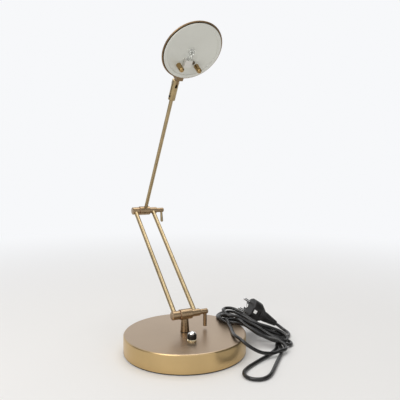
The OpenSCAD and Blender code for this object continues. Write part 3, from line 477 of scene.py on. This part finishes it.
sheet_form = bmesh.new()
bmesh.ops.create_grid(sheet_form, x_segments=8, y_segments=8, size=6.0)
bmesh.ops.translate(sheet_form, verts=sheet_form.verts, vec=(0, 0, -0.0002))
sheet_mesh = mesh_from("table_sheet", sheet_form)
table = add_object("table_sheet", sheet_mesh)
sheet_mesh.materials.append(paper)
print("table and world ready")

# %% [markdown]
# ## Lamps
#
# Metal shows its surroundings more than its own colour. One large soft box on the left gives
# the rods their long bright stripe and throws a soft shadow to the right, and a weaker one
# overhead lights the top of the base. Two grey boards at the sides stand only in the
# reflections: they give round metal its darker flanks.

# %% Soft boxes and boards


def soft_box(name, place, aim, width, height, power):
    """A large lamp that looks from its place towards its aim."""
    light = bpy.data.lights.new(name, "AREA")
    light.shape, light.size, light.size_y = "RECTANGLE", width, height
    light.energy, light.color = power, (1, 0.985, 0.96)
    lamp = add_object(name, light)
    lamp.location = place
    lamp.rotation_euler = (Vector(aim) - Vector(place)).to_track_quat("-Z", "Y").to_euler()


def board(name, place, aim, width, height, grey):
    """A card that only reflections see."""
    form = bmesh.new()
    bmesh.ops.create_grid(form, x_segments=1, y_segments=1, size=0.5)
    turn = (Vector(aim) - Vector(place)).to_track_quat("Z", "Y").to_matrix().to_4x4()
    form.transform(Matrix.Translation(place) @ turn @ Matrix.Diagonal((width, height, 1, 1)))
    mesh = mesh_from(name, form)
    card = add_object(name, mesh)
    cloth = bpy.data.materials.new(name)
    tree = cleared_tree(cloth)
    shader = node(tree, "ShaderNodeBsdfPrincipled", {"Base Color": (grey, grey, grey, 1),
                                                     "Roughness": 1.0,
                                                     "Specular IOR Level": 0.0})
    node(tree, "ShaderNodeOutputMaterial", {"Surface": shader.outputs[0]})
    mesh.materials.append(cloth)
    card.visible_camera = card.visible_diffuse = card.visible_shadow = False
    card.visible_transmission = False


soft_box("key_box", (-1.25, -0.55, 1.35), (0.0, 0.05, 0.15), 1.1, 1.3, 15.0)
soft_box("top_box", (0.35, 0.35, 1.9), (0.0, 0.0, 0.1), 1.2, 1.2, 11.0)
board("left_board", (-1.25, 0.45, 0.62), (0, 0.1, 0.3), 1.5, 1.3, 0.22)
board("right_board", (1.2, -0.35, 0.72), (0, 0.1, 0.3), 2.2, 1.5, 0.10)

# %% [markdown]
# ## Effects that several finishes share
#
# A real finish is never one flat colour. Four effects come back all over the lamp, so each is
# one node group with named inputs: fine grain and soft clouds, wear along edges, dust on what
# looks up, and the fine rings that a lathe leaves. A group holds only colours, masks and
# heights, and the shader itself stays in each material.

# %% Start a node group


def effect(name, inputs, outputs):
    """An empty group with named sockets. inputs and outputs are (name, kind, value)."""
    group = bpy.data.node_groups.new(name, "ShaderNodeTree")
    for label, kind, value in inputs:
        socket = group.interface.new_socket(label, in_out="INPUT", socket_type=kind)
        if value is not None:
            socket.default_value = value
    for label, kind in outputs:
        group.interface.new_socket(label, in_out="OUTPUT", socket_type=kind)
    return group, node(group, "NodeGroupInput").outputs, node(group, "NodeGroupOutput").inputs


FLOAT, VECTOR = "NodeSocketFloat", "NodeSocketVector"
print("socket kinds:", FLOAT, VECTOR)

# %% Grain and clouds
grain_group, given, result = effect(
    "satin_grain", [("Place", VECTOR, None), ("Grain per metre", FLOAT, 3000.0),
                    ("Clouds per metre", FLOAT, 30.0)],
    [("Grain", FLOAT), ("Clouds", FLOAT)])
fine = noise(grain_group, given["Place"], given["Grain per metre"], 3.0, 0.6)
broad = noise(grain_group, given["Place"], given["Clouds per metre"], 4.0, 0.55)
grain_group.links.new(fine, result["Grain"])
grain_group.links.new(ranged(grain_group, broad, 0.32, 0.68), result["Clouds"])
print("group:", grain_group.name)

# %% Worn edges
wear_group, given, result = effect(
    "worn_edges", [("Place", VECTOR, None), ("Edge width", FLOAT, 0.0008),
                   ("Breaks per metre", FLOAT, 260.0)],
    [("Edge", FLOAT)])
rounded = node(wear_group, "ShaderNodeBevel", {"Radius": given["Edge width"]}, samples=4)
facing = node(wear_group, "ShaderNodeNewGeometry").outputs["Normal"]
same = node(wear_group, "ShaderNodeVectorMath", {0: rounded.outputs[0], 1: facing},
            operation="DOT_PRODUCT").outputs["Value"]
edge = ranged(wear_group, same, 0.90, 0.72)
patches = noise(wear_group, given["Place"], given["Breaks per metre"], 3.0)
broken = ranged(wear_group, patches, 0.38, 0.62)
wear_group.links.new(math_of(wear_group, "MULTIPLY", edge, broken), result["Edge"])
print("group:", wear_group.name)

# %% Dust
dust_group, given, result = effect(
    "settled_dust", [("Place", VECTOR, None), ("Specks per metre", FLOAT, 900.0)],
    [("Dust", FLOAT)])
up = facing_up(dust_group, 0.35, 0.95)
specks = noise(dust_group, given["Place"], given["Specks per metre"], 4.0, 0.7)
specks = ranged(dust_group, specks, 0.42, 0.75)
dust_group.links.new(math_of(dust_group, "MULTIPLY", up, specks), result["Dust"])
print("group:", dust_group.name)

# %% Rings of the lathe, about the Z axis of the place that comes in
turned_group, given, result = effect(
    "turned_rings", [("Place", VECTOR, None), ("Rings per metre", FLOAT, 2500.0)],
    [("Rings", FLOAT)])
parts = node(turned_group, "ShaderNodeSeparateXYZ", {0: given["Place"]}).outputs
flat = node(turned_group, "ShaderNodeCombineXYZ", {0: parts["X"], 1: parts["Y"]}).outputs[0]
out = node(turned_group, "ShaderNodeVectorMath", {0: flat}, operation="LENGTH").outputs["Value"]
ring = node(turned_group, "ShaderNodeCombineXYZ", {0: out, 1: parts["Z"]}).outputs[0]
cut = noise(turned_group, ring, given["Rings per metre"], 2.0, 0.7)
turned_group.links.new(cut, result["Rings"])
print("group:", turned_group.name)

# %% [markdown]
# ## Finishes
#
# Each finish is one material that sets its own colours, gloss and amounts on the shared
# effects. Metals here are satin: the grain changes their roughness a little from place to
# place, the clouds change their tone, and handling has rubbed their edges brighter.

# %% One builder for the solid finishes
DUST = (0.42, 0.40, 0.37)


def finish(name, colour, roughness, metallic=0.0, grain=3000.0, clouds=30.0, cloudiness=0.10,
           uneven=0.06, wear=0.35, worn=None, dust=0.06, bump=0.04, depth=0.0001, turned=0.0,
           top=None, coat=0.0, edge=0.0008, specular=0.5):
    """A material whose tone, gloss and surface change over the piece."""
    made = bpy.data.materials.new(name)
    tree = cleared_tree(made)
    place = node(tree, "ShaderNodeTexCoord").outputs["Object"]
    skin = node(tree, "ShaderNodeGroup", {"Place": place, "Grain per metre": grain,
                                          "Clouds per metre": clouds},
                node_tree=grain_group).outputs
    darker = [c * (1 - cloudiness) for c in colour]
    lighter = [min(1.0, c * (1 + cloudiness)) for c in colour]
    tone = mixed(tree, skin["Clouds"], darker, lighter)
    # top is a second tone mixed in where the surface faces up: painted shade, which makes an upper
    # face darker and pinker than its sides by its facing alone.
    if top:
        painted_top_darker = [c * (1 - cloudiness) for c in top]
        tone = mixed(tree, facing_up(tree, 0.55, 0.98), tone,
                     mixed(tree, skin["Clouds"], painted_top_darker, top))
    rubbed = node(tree, "ShaderNodeGroup", {"Place": place, "Edge width": edge},
                  node_tree=wear_group).outputs["Edge"]
    worn = worn or [min(1.0, c * 1.35 + 0.02) for c in colour]
    tone = mixed(tree, math_of(tree, "MULTIPLY", rubbed, wear), tone, worn)
    motes = node(tree, "ShaderNodeGroup", {"Place": place}, node_tree=dust_group)
    haze = math_of(tree, "MULTIPLY", motes.outputs["Dust"], dust)
    tone = mixed(tree, haze, tone, DUST)
    gloss = ranged(tree, skin["Grain"], 0.25, 0.75, (roughness - uneven, roughness + uneven))
    gloss = math_of(tree, "ADD", gloss, math_of(tree, "MULTIPLY", haze, 0.6), clamp=True)
    height = skin["Grain"]
    if turned:
        lathe = node(tree, "ShaderNodeGroup", {"Place": place, "Rings per metre": turned},
                     node_tree=turned_group)
        height = math_of(tree, "ADD", math_of(tree, "MULTIPLY", height, 0.5),
                         lathe.outputs["Rings"])
    raised = node(tree, "ShaderNodeBump", {"Height": height, "Strength": bump,
                                           "Distance": depth})
    shader = node(tree, "ShaderNodeBsdfPrincipled",
                  {"Base Color": tone, "Roughness": gloss, "Metallic": metallic,
                   "Normal": raised.outputs[0], "Specular IOR Level": specular,
                   "Coat Weight": coat, "Coat Roughness": 0.15})
    node(tree, "ShaderNodeOutputMaterial", {"Surface": shader.outputs[0]})
    return made


def metal(name, colour, roughness, **more):
    """A finish of bare metal."""
    return finish(name, colour, roughness, metallic=1.0, **more)


print("builder ready")

# %% Gilt metal
gilt = metal("gilt_rods", (0.425, 0.330, 0.190), 0.37, grain=900,
             cloudiness=0.14, uneven=0.03, wear=0.0, dust=0.0, bump=0.004)
gilt_neck = metal("gilt_neck", (0.40, 0.305, 0.165), 0.33, grain=900,
                  cloudiness=0.16, wear=0.4, worn=(0.68, 0.56, 0.35), dust=0.03, bump=0.015)
# Stem, tees, hubs and clamp nuts are the same gilt as the rods, made darker and browner: painted
# shade for the shading round the stem and the hinges.
gilt_hub_painted_shade = metal("gilt_hubs_painted_shade", (0.335, 0.238, 0.142), 0.28, grain=900,
                 cloudiness=0.20, wear=0.35, worn=(0.64, 0.47, 0.26), dust=0.03, bump=0.015)
# The cover's top tone is painted shade: its upper face gets a darker, pinker colour than the side
# through which way it faces.
gilt_cover = metal("gilt_cover", (0.60, 0.43, 0.21), 0.33, clouds=12.0,
                   cloudiness=0.07, turned=2600.0, top=(0.435, 0.325, 0.222), bump=0.05,
                   worn=(0.80, 0.62, 0.38), wear=0.2, dust=0.08, edge=0.0014)
gilt_dark = metal("gilt_bracket", (0.27, 0.185, 0.105), 0.32, cloudiness=0.16,
                  wear=0.4, worn=(0.62, 0.42, 0.20), bump=0.03)
gilt_shell = metal("gilt_shell", (0.255, 0.17, 0.095), 0.33, grain=700,
                   cloudiness=0.14, uneven=0.03, wear=0.0, dust=0.0, bump=0.010)
gilt_nuts = metal("gilt_nuts", (0.40, 0.265, 0.115), 0.22, cloudiness=0.12,
                  wear=0.3, bump=0.02)
print("materials so far:", len(bpy.data.materials))

# %% Steels, chrome, cast iron and copper
dark_steel = metal("dark_steel", (0.19, 0.18, 0.165), 0.34, wear=0.6)
zinc = metal("zinc_steel", (0.60, 0.61, 0.60), 0.36, cloudiness=0.12, clouds=90)
chrome = metal("chrome", (0.80, 0.80, 0.79), 0.10, grain=600, cloudiness=0.03,
               uneven=0.02, wear=0.0, dust=0.02, bump=0.003)
pale_plate = metal("pale_plate", (0.80, 0.72, 0.52), 0.16, grain=600,
                   cloudiness=0.05, uneven=0.02, wear=0.0, dust=0.02, bump=0.003)
cast = finish("cast_ballast", (0.13, 0.125, 0.12), 0.62, metallic=0.6, grain=700, clouds=60,
              cloudiness=0.25, bump=0.35, depth=0.0006, uneven=0.12)
nickel = metal("nickel_contact", (0.88, 0.875, 0.86), 0.22, cloudiness=0.04,
               wear=0.1, dust=0.0, bump=0.01)
core_steel = metal("core_steel", (0.30, 0.30, 0.31), 0.42, cloudiness=0.15)
copper = finish("enamelled_wire", (0.55, 0.22, 0.10), 0.24, metallic=0.9, cloudiness=0.18,
                clouds=300, coat=0.4)
print("materials so far:", len(bpy.data.materials))

# %% Plastics, rubber, fibre, lacquer and ceramic
white_plastic = finish("white_plastic", (0.78, 0.77, 0.73), 0.45, cloudiness=0.04, wear=0.1)
black_plastic = finish("black_plastic", (0.010, 0.0095, 0.0092), 0.30, cloudiness=0.2, wear=0.5,
                       worn=(0.055, 0.052, 0.050), grain=2200, bump=0.08, dust=0.02, specular=0.4)
plug_plastic = finish("plug_plastic", (0.0150, 0.0138, 0.0130), 0.42, cloudiness=0.2, wear=0.5,
                      worn=(0.060, 0.055, 0.050), grain=1500, bump=0.2, dust=0.03, specular=0.35)
rubber = finish("pad_rubber", (0.030, 0.029, 0.028), 0.68, cloudiness=0.2, grain=1800,
                bump=0.25, dust=0.2, worn=(0.07, 0.068, 0.065))
lead_skin = finish("lead_skin", (0.0105, 0.0100, 0.0098), 0.27, cloudiness=0.25, clouds=60,
                   grain=1200, bump=0.05, wear=0.0, dust=0.04, uneven=0.05, specular=0.5)
fibre = finish("fibre_washer", (0.27, 0.12, 0.065), 0.7, cloudiness=0.2, grain=1500, bump=0.2)
lacquer = finish("white_lacquer", (0.72, 0.728, 0.67), 0.34, cloudiness=0.03, clouds=18,
                 grain=220, wear=0.0, dust=0.0, coat=0.25, bump=0.015, depth=0.0001, uneven=0.02)
ceramic = finish("ceramic", (0.80, 0.785, 0.74), 0.38, cloudiness=0.06, grain=2500, bump=0.08)
print("other finishes ready")

# %% [markdown]
# ## Glass
#
# The halogen capsule is quartz glass. Clear glass has no colour of its own, so what shows is
# its rim and what stands behind it. It keeps a plain full transmission, and its roughness
# changes a little over the surface. Real quartz has an index near 1.46. A lower one and an
# alpha below 1 are chosen here for the look, to keep so small a capsule faint.

# %% Glass and tungsten
glass = bpy.data.materials.new("quartz_glass")
tree = cleared_tree(glass)
smear = noise(tree, node(tree, "ShaderNodeTexCoord").outputs["Object"], 400.0)
smear = ranged(tree, smear, 0.0, 1.0, (0.0, 0.03))
shader = node(tree, "ShaderNodeBsdfPrincipled",
              {"Base Color": (0.97, 0.98, 0.98, 1), "Roughness": smear, "IOR": 1.25,
               "Transmission Weight": 1.0, "Alpha": 0.4})
node(tree, "ShaderNodeOutputMaterial", {"Surface": shader.outputs[0]})
tungsten = metal("tungsten", (0.22, 0.21, 0.20), 0.45, wear=0.0, dust=0.0)
print("glass ready")

# %% [markdown]
# ## Which part gets which finish
#
# A finish belongs to what a part is made of and how it was made, and not to where it stands,
# except the darker gilt of the stem, tees and hubs, which is painted shade. The list is by
# finish, so that one line changes a whole family of parts.

# %% Give the parts their finishes
FINISHES = {
    gilt_cover: ["base_cover"],
    gilt: ["left_rod", "right_rod", "upper_rod", "upper_clamp_handle"],
    gilt_neck: ["neck_collar", "neck_fork", "tilt_pin_nut"],
    # the rods' gilt made darker: painted shade
    gilt_hub_painted_shade: ["stem", "lower_tee", "lower_left_hub", "lower_right_hub", "upper_left_hub",
               "upper_right_hub", "lower_clamp_nut", "lower_clamp_handle", "upper_clamp_nut",
               "upper_tee"],
    gilt_dark: ["head_bracket"],
    gilt_shell: ["head_shell"],
    gilt_nuts: ["dome_nuts"],
    dark_steel: ["lower_hinge_bolt", "upper_hinge_bolt", "collar_screw", "tilt_pin",
                 "head_studs", "holder_screw"],
    zinc: ["bottom_plate", "ballast_screws", "stem_tube", "stem_washer", "stem_nut",
           "neck_spindle", "holder_plate", "capsule_pins", "plug_earth_parts"],
    chrome: ["switch_button", "plug_pins"],
    pale_plate: ["switch_ring_nut"],
    cast: ["ballast_ring"],
    core_steel: ["transformer_core"],
    copper: ["transformer_winding"],
    white_plastic: ["terminal_block"],
    black_plastic: ["cord_clamp", "switch_housing", "swivel_washer"],
    plug_plastic: ["plug_body"],
    rubber: ["foot_pad", "cord_bush"],
    fibre: ["lower_hinge_washers", "upper_hinge_washers"],
    lacquer: ["reflector"],
    ceramic: ["lamp_holder"],
    glass: ["capsule"],
}
for made, names in FINISHES.items():
    for name in names:
        for place_for_it in NODES[name].material_slots:
            place_for_it.material = made
cord.data.materials.append(lead_skin)
print("finished:", sum(len(names) for names in FINISHES.values()), "parts")

# %% [markdown]
# ## The plug, turned over
#
# The plug is a moulded one with two round pins, a hole for the socket's earth pin and a metal
# strip on each side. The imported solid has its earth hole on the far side, so the shown plug is
# a copy of it, turned by half a turn about its own axis: the hole then faces the front of the
# lamp, and the pins stay where they are. The strips are also drawn shorter than the packed
# ones. The copy is merged first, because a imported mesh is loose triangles, and a small bevel
# then rounds its edges as a mould does.

# %% Turn copies of the plug's parts
PLUG_PLACE = (Matrix.Translation(Vector(PLUG_FACE) * MM) @ Matrix.Rotation(PLUG_HEADING, 4, "Z")
              @ Matrix.Rotation(PLUG_TILT, 4, "Y") @ Matrix.Rotation(PLUG_ROLL, 4, "Z"))
HALF_TURN = PLUG_PLACE @ Matrix.Rotation(pi, 4, "Z") @ PLUG_PLACE.inverted()
STRIP_Y = 0.0135  # the strips lie further out than this
STRIP_TOP, STRIP_SHARE = -0.003, 0.34  # where they start, and how much of them is drawn


def turned_copy(name, part, material, bevel, shorten=False):
    """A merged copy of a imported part, turned over, with softened edges."""
    mesh = NODES[part].data.copy()
    mesh.name = name
    form = bmesh.new()
    form.from_mesh(mesh)
    bmesh.ops.remove_doubles(form, verts=form.verts, dist=2e-6)
    bmesh.ops.dissolve_limit(form, angle_limit=radians(1.5), verts=form.verts, edges=form.edges)
    if shorten:
        form.transform(PLUG_PLACE.inverted())
        for vert in form.verts:
            if abs(vert.co.y) > STRIP_Y:
                vert.co.z = STRIP_TOP + (vert.co.z - STRIP_TOP) * STRIP_SHARE
        form.transform(PLUG_PLACE)
    form.transform(HALF_TURN)
    form.to_mesh(mesh)
    form.free()
    mesh.materials.clear()
    mesh.materials.append(material)
    piece = add_object(name, mesh)
    soft = piece.modifiers.new("soft edges", "BEVEL")
    soft.width, soft.segments, soft.limit_method = bevel, 2, "ANGLE"
    soft.angle_limit = radians(40)
    soft.harden_normals = True
    return piece


plug = turned_copy("plug_moulding", "plug_body", plug_plastic, 0.0005)
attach(plug, "base")
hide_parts("plug_body")
earth = turned_copy("plug_earth_strips", "plug_earth_parts", nickel, 0.0001, shorten=True)
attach(earth, "base")
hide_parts("plug_earth_parts")
print("plug:", len(plug.data.vertices), "points")

# %% [markdown]
# ## Lofts
#
# Several small parts change their section along a line: the sleeve behind the plug, and the
# capsule, which is round at its tip and flat where the glass was pinched. A loft joins rings
# of points that all have the same count, so one helper makes them all.

# %% Loft rings of points into a skin
RING = 24


def section(half_x, half_y, height, power=2.0):
    """A closed ring in a level plane. Power 2 is an ellipse, and more is squarer."""
    ring = []
    for k in range(RING):
        a = 2 * pi * k / RING
        c, d = cos(a), sin(a)
        ring.append((half_x * abs(c) ** (2 / power) * (1 if c >= 0 else -1),
                     half_y * abs(d) ** (2 / power) * (1 if d >= 0 else -1), height))
    return ring


def loft(form, rings, close_start=True, close_end=True):
    """Adds a skin through the rings to a bmesh."""
    made = [[form.verts.new(p) for p in ring] for ring in rings]
    for a, b in zip(made, made[1:]):
        for k in range(len(a)):
            j = (k + 1) % len(a)
            form.faces.new((a[k], a[j], b[j], b[k]))
    if close_start:
        form.faces.new(made[0][::-1])
    if close_end:
        form.faces.new(made[-1])


def closed_on_itself(rings):
    """A bmesh whose last ring is its first one, like a washer."""
    form = bmesh.new()
    loft(form, rings + rings[:1], False, False)
    bmesh.ops.remove_doubles(form, verts=form.verts, dist=1e-4)
    bmesh.ops.recalc_face_normals(form, faces=form.faces)
    return form


def finished_piece(name, form, place, material, body):
    """A piece from a bmesh whose sizes are in millimetres."""
    form.transform(place @ Matrix.Scale(MM, 4))
    mesh = mesh_from(name, form)
    mesh.shade_smooth()
    mesh.materials.append(material)
    piece = add_object(name, mesh)
    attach(piece, body)
    return piece


print("loft ready")

# %% The rim of the earth socket
EARTH_AWAY = -10.0
RIM = [(4.2, -0.3), (4.2, 0.5), (3.9, 0.75), (2.8, 0.75), (2.35, 0.4), (2.35, -0.3)]
rim = finished_piece("plug_earth_rim", closed_on_itself([section(r, r, z) for r, z in RIM]),
                     PLUG_PLACE @ Matrix.Translation((0, EARTH_AWAY * MM, 0)), nickel,
                     "base")
print("rim:", len(rim.data.polygons), "faces")

# %% The sleeve behind the plug
SLEEVE = [(-33.0, 6.9), (-33.6, 8.7), (-36, 9.3), (-42, 8.3), (-50, 6.9), (-58, 5.7), (-63.5, 4.9),
          (-64.4, 4.2)]
SLEEVE_BORE = [(-64.4, 3.75), (-50, 5.05), (-33.0, 6.45)]
FLATTENED = 0.93
outer = [section(r, r * FLATTENED, z) for z, r in SLEEVE]
bore = [section(r, r, z) for z, r in SLEEVE_BORE]
sleeve = finished_piece("plug_sleeve", closed_on_itself(outer + bore), PLUG_PLACE,
                        plug_plastic, "base")
print("sleeve:", len(sleeve.data.polygons), "faces")

# %% [markdown]
# ## Rings from a node tree
#
# The sleeve has raised rings that grow smaller towards the cord. They repeat, so a node tree
# makes them: a line of points, a circle on each point that shrinks by its number, and a round
# section swept along each circle. The sizes are inputs, so the same tree can ring any taper.

# %% Start a geometry tree


def geometry_tree(name, inputs):
    """An empty geometry tree. inputs are (name, socket kind, value)."""
    tree = bpy.data.node_groups.new(name, "GeometryNodeTree")
    tree.interface.new_socket("Geometry", in_out="OUTPUT", socket_type="NodeSocketGeometry")
    for label, kind, value in inputs:
        socket = tree.interface.new_socket(label, in_out="INPUT", socket_type=kind)
        if value is not None:
            socket.default_value = value
    return tree, node(tree, "NodeGroupInput").outputs, node(tree, "NodeGroupOutput").inputs


def finish_tree(tree, geometry, material, result):
    """Every tree ends with real geometry, smooth faces and its material."""
    real = node(tree, "GeometryNodeRealizeInstances", {0: geometry}).outputs[0]
    smooth = node(tree, "GeometryNodeSetShadeSmooth", {0: real}).outputs[0]
    painted = node(tree, "GeometryNodeSetMaterial", {"Geometry": smooth, "Material": material})
    tree.links.new(painted.outputs[0], result["Geometry"])


def from_tree(name, tree, values, place, body):
    """Runs a geometry tree with these values and bakes it to a plain piece."""
    empty = add_object(name + "_source", bpy.data.meshes.new(name + "_source"))
    modifier = empty.modifiers.new("tree", "NODES")
    modifier.node_group = tree
    for item in tree.interface.items_tree:
        if item.in_out == "INPUT" and item.name in values:
            modifier[item.identifier] = values[item.name]
    bpy.context.view_layer.update()
    piece = as_mesh(name, empty, place @ Matrix.Scale(MM, 4))
    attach(piece, body)
    return piece


INTEGER, MATERIAL = "NodeSocketInt", "NodeSocketMaterial"
print("geometry helpers ready")

# %% The tree of rings
rings_tree, given, result = geometry_tree("tapered_rings", [
    ("Count", INTEGER, 7), ("Spacing", FLOAT, 3.6), ("First Radius", FLOAT, 8.0),
    ("Shrink", FLOAT, 0.5), ("Thickness", FLOAT, 0.5), ("Material", MATERIAL, None)])
down = math_of(rings_tree, "MULTIPLY", given["Spacing"], -1.0)
step = node(rings_tree, "ShaderNodeCombineXYZ", {2: down})
spots = node(rings_tree, "GeometryNodeMeshLine",
             {"Count": given["Count"], "Offset": step.outputs[0]})
hoop = node(rings_tree, "GeometryNodeCurvePrimitiveCircle", {"Resolution": 28, "Radius": 1.0})
number = node(rings_tree, "GeometryNodeInputIndex").outputs[0]
radius = math_of(rings_tree, "SUBTRACT", given["First Radius"],
                 math_of(rings_tree, "MULTIPLY", number, given["Shrink"]))
size = node(rings_tree, "ShaderNodeCombineXYZ", {0: radius, 1: radius, 2: 1.0}).outputs[0]
hoops = node(rings_tree, "GeometryNodeInstanceOnPoints",
             {"Points": spots.outputs[0], "Instance": hoop.outputs[0], "Scale": size})
hoops = node(rings_tree, "GeometryNodeRealizeInstances", {0: hoops.outputs[0]})
round_section = node(rings_tree, "GeometryNodeCurvePrimitiveCircle",
                     {"Resolution": 8, "Radius": given["Thickness"]})
swept = node(rings_tree, "GeometryNodeCurveToMesh",
             {"Curve": hoops.outputs[0], "Profile Curve": round_section.outputs[0]})
finish_tree(rings_tree, swept.outputs[0], given["Material"], result)
SLEEVE_RINGS_START, GRIP_START = -0.0385, -0.0185
sleeve_rings = from_tree(
    "plug_sleeve_rings", rings_tree,
    {"Count": 8, "Spacing": 3.3, "First Radius": 8.45, "Shrink": 0.52, "Thickness": 0.62,
     "Material": plug_plastic},
    PLUG_PLACE @ Matrix.Translation((0, 0, SLEEVE_RINGS_START)), "base")
grip_rings = from_tree(
    "plug_grip_rings", rings_tree,
    {"Count": 5, "Spacing": 3.4, "First Radius": 16.9, "Shrink": 2.05, "Thickness": 1.15,
     "Material": plug_plastic},
    PLUG_PLACE @ Matrix.Translation((0, 0, GRIP_START)), "base")
print("sleeve rings:", len(sleeve_rings.data.polygons), "faces, grip:",
      len(grip_rings.data.polygons))

# %% [markdown]
# ## A knurl round the switch's nut
#
# The nut under the switch is turned by hand, so it has fine ridges round it. One small ridge
# on every point of a circle, each turned to look outwards, is the plainest rule for it.

# %% The tree of ridges
ridge_tree, given, result = geometry_tree("ridges_round", [
    ("Count", INTEGER, 40), ("Radius", FLOAT, 7.0), ("Ridge", FLOAT, 0.3),
    ("Height", FLOAT, 2.0), ("Material", MATERIAL, None)])
spots = node(ridge_tree, "GeometryNodeMeshCircle",
             {"Vertices": given["Count"], "Radius": given["Radius"]})
ridge = node(ridge_tree, "GeometryNodeMeshCylinder",
             {"Vertices": 6, "Radius": given["Ridge"], "Depth": given["Height"]})
turn = math_of(ridge_tree, "DIVIDE", node(ridge_tree, "GeometryNodeInputIndex").outputs[0],
               given["Count"])
turn = node(ridge_tree, "ShaderNodeCombineXYZ", {2: math_of(ridge_tree, "MULTIPLY", turn, 2 * pi)})
ridges = node(ridge_tree, "GeometryNodeInstanceOnPoints",
              {"Points": spots.outputs[0], "Instance": ridge.outputs[0],
               "Rotation": turn.outputs[0]})
finish_tree(ridge_tree, ridges.outputs[0], given["Material"], result)
SWITCH_AWAY, SWITCH_DIRECTION, NUT_MIDDLE = 44.2, radians(-100.7), 0.00125
SWITCH_PLACE = Matrix.Translation((SWITCH_AWAY * MM * cos(SWITCH_DIRECTION),
                                   SWITCH_AWAY * MM * sin(SWITCH_DIRECTION), BASE_H * MM))
knurl = from_tree("switch_nut_knurl", ridge_tree,
                  {"Count": 44, "Radius": 6.95, "Ridge": 0.26, "Height": 1.9,
                   "Material": pale_plate},
                  SWITCH_PLACE @ Matrix.Translation((0, 0, NUT_MIDDLE)), "base")
print("knurl:", len(knurl.data.polygons), "faces")

# %% [markdown]
# ## The halogen capsule
#
# A capsule is a thin-walled tube of quartz glass, pinched flat round its two pins, with a
# coil of tungsten wire in it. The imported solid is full, and full glass would bend the light
# like a lens and look black and white. So the shown capsule has an outer skin and an inner
# one, which turns inwards.

# %% Where the dish and the capsule are
UPPER_HINGE, UPPER_LEAN = (0, 0.190907, 0.215146), radians(33.5)
ROD_ASIDE, NECK_TURN = 0.003, radians(5)
TILT_PIN_UP, HEAD_TILT = 0.2705, radians(11.4)
DISH_FROM_PIN, CAPSULE_FROM_DISH = (0, -0.0143, 0.0703), (-0.0015, -0.0152, 0.00338)
DISH_PLACE = (Matrix.Translation(UPPER_HINGE) @ Matrix.Rotation(UPPER_LEAN, 4, "X")
              @ Matrix.Translation((ROD_ASIDE, 0, 0)) @ Matrix.Rotation(NECK_TURN, 4, "Z")
              @ Matrix.Translation((0, 0, TILT_PIN_UP)) @ Matrix.Rotation(HEAD_TILT, 4, "X")
              @ Matrix.Translation(DISH_FROM_PIN) @ Matrix.Rotation(pi / 2, 4, "X"))
CAPSULE_PLACE = (DISH_PLACE @ Matrix.Translation(CAPSULE_FROM_DISH)
                 @ Matrix.Rotation(-pi / 2, 4, "X"))
print("capsule stands at", [round(v, 4) for v in CAPSULE_PLACE.translation])

# %% Glass
CAPSULE_R, CAPSULE_L, INNER_R = 3.9, 20.0, 3.2
TIP_RINGS = 6
tip = CAPSULE_L - CAPSULE_R
outer = [section(3.5, 1.3, 0, 5), section(3.5, 1.4, 4.5, 5), section(3.6, 2.0, 6.2, 3.2),
         section(3.8, 3.3, 7.6, 2.3), section(CAPSULE_R, CAPSULE_R, 9.0),
         section(CAPSULE_R, CAPSULE_R, tip)]
inner = [section(2.2, 1.8, 8.0), section(3.0, 2.7, 8.8), section(INNER_R, INNER_R, 9.8),
         section(INNER_R, INNER_R, tip)]
for k in range(1, TIP_RINGS + 1):
    a = k * pi / (2 * TIP_RINGS + 2)
    outer.append(section(CAPSULE_R * cos(a), CAPSULE_R * cos(a), tip + CAPSULE_R * sin(a)))
    inner.append(section(INNER_R * cos(a), INNER_R * cos(a), tip + INNER_R * sin(a)))
form = bmesh.new()
loft(form, outer)
bmesh.ops.recalc_face_normals(form, faces=form.faces)
cavity = bmesh.new()
loft(cavity, inner)
bmesh.ops.recalc_face_normals(cavity, faces=cavity.faces)
bmesh.ops.reverse_faces(cavity, faces=cavity.faces)
form.from_mesh(mesh_from("capsule_cavity", cavity))
capsule = finished_piece("capsule_glass", form, CAPSULE_PLACE, glass, "head")
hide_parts("capsule")
print("capsule:", len(capsule.data.polygons), "faces")

# %% The tree of the filament
coil_tree, given, result = geometry_tree("filament_coil", [
    ("Turns", FLOAT, 12.0), ("Coil Radius", FLOAT, 0.55), ("Length", FLOAT, 6.0),
    ("Wire", FLOAT, 0.12), ("Material", MATERIAL, None)])
wound = node(coil_tree, "GeometryNodeCurveSpiral",
             {"Resolution": 14, "Rotations": given["Turns"], "Start Radius": given["Coil Radius"],
              "End Radius": given["Coil Radius"], "Height": given["Length"]})
wire = node(coil_tree, "GeometryNodeCurvePrimitiveCircle",
            {"Resolution": 6, "Radius": given["Wire"]})
swept = node(coil_tree, "GeometryNodeCurveToMesh",
             {"Curve": wound.outputs[0], "Profile Curve": wire.outputs[0], "Fill Caps": True})
finish_tree(coil_tree, swept.outputs[0], given["Material"], result)
COIL_UP = 0.0105
filament = from_tree("capsule_filament", coil_tree,
                     {"Turns": 11.0, "Coil Radius": 0.55, "Length": 5.4, "Wire": 0.12,
                      "Material": tungsten},
                     CAPSULE_PLACE @ Matrix.Translation((0, 0, COIL_UP)), "head")
print("filament:", len(filament.data.polygons), "faces")

# %% [markdown]

print("all pieces made")
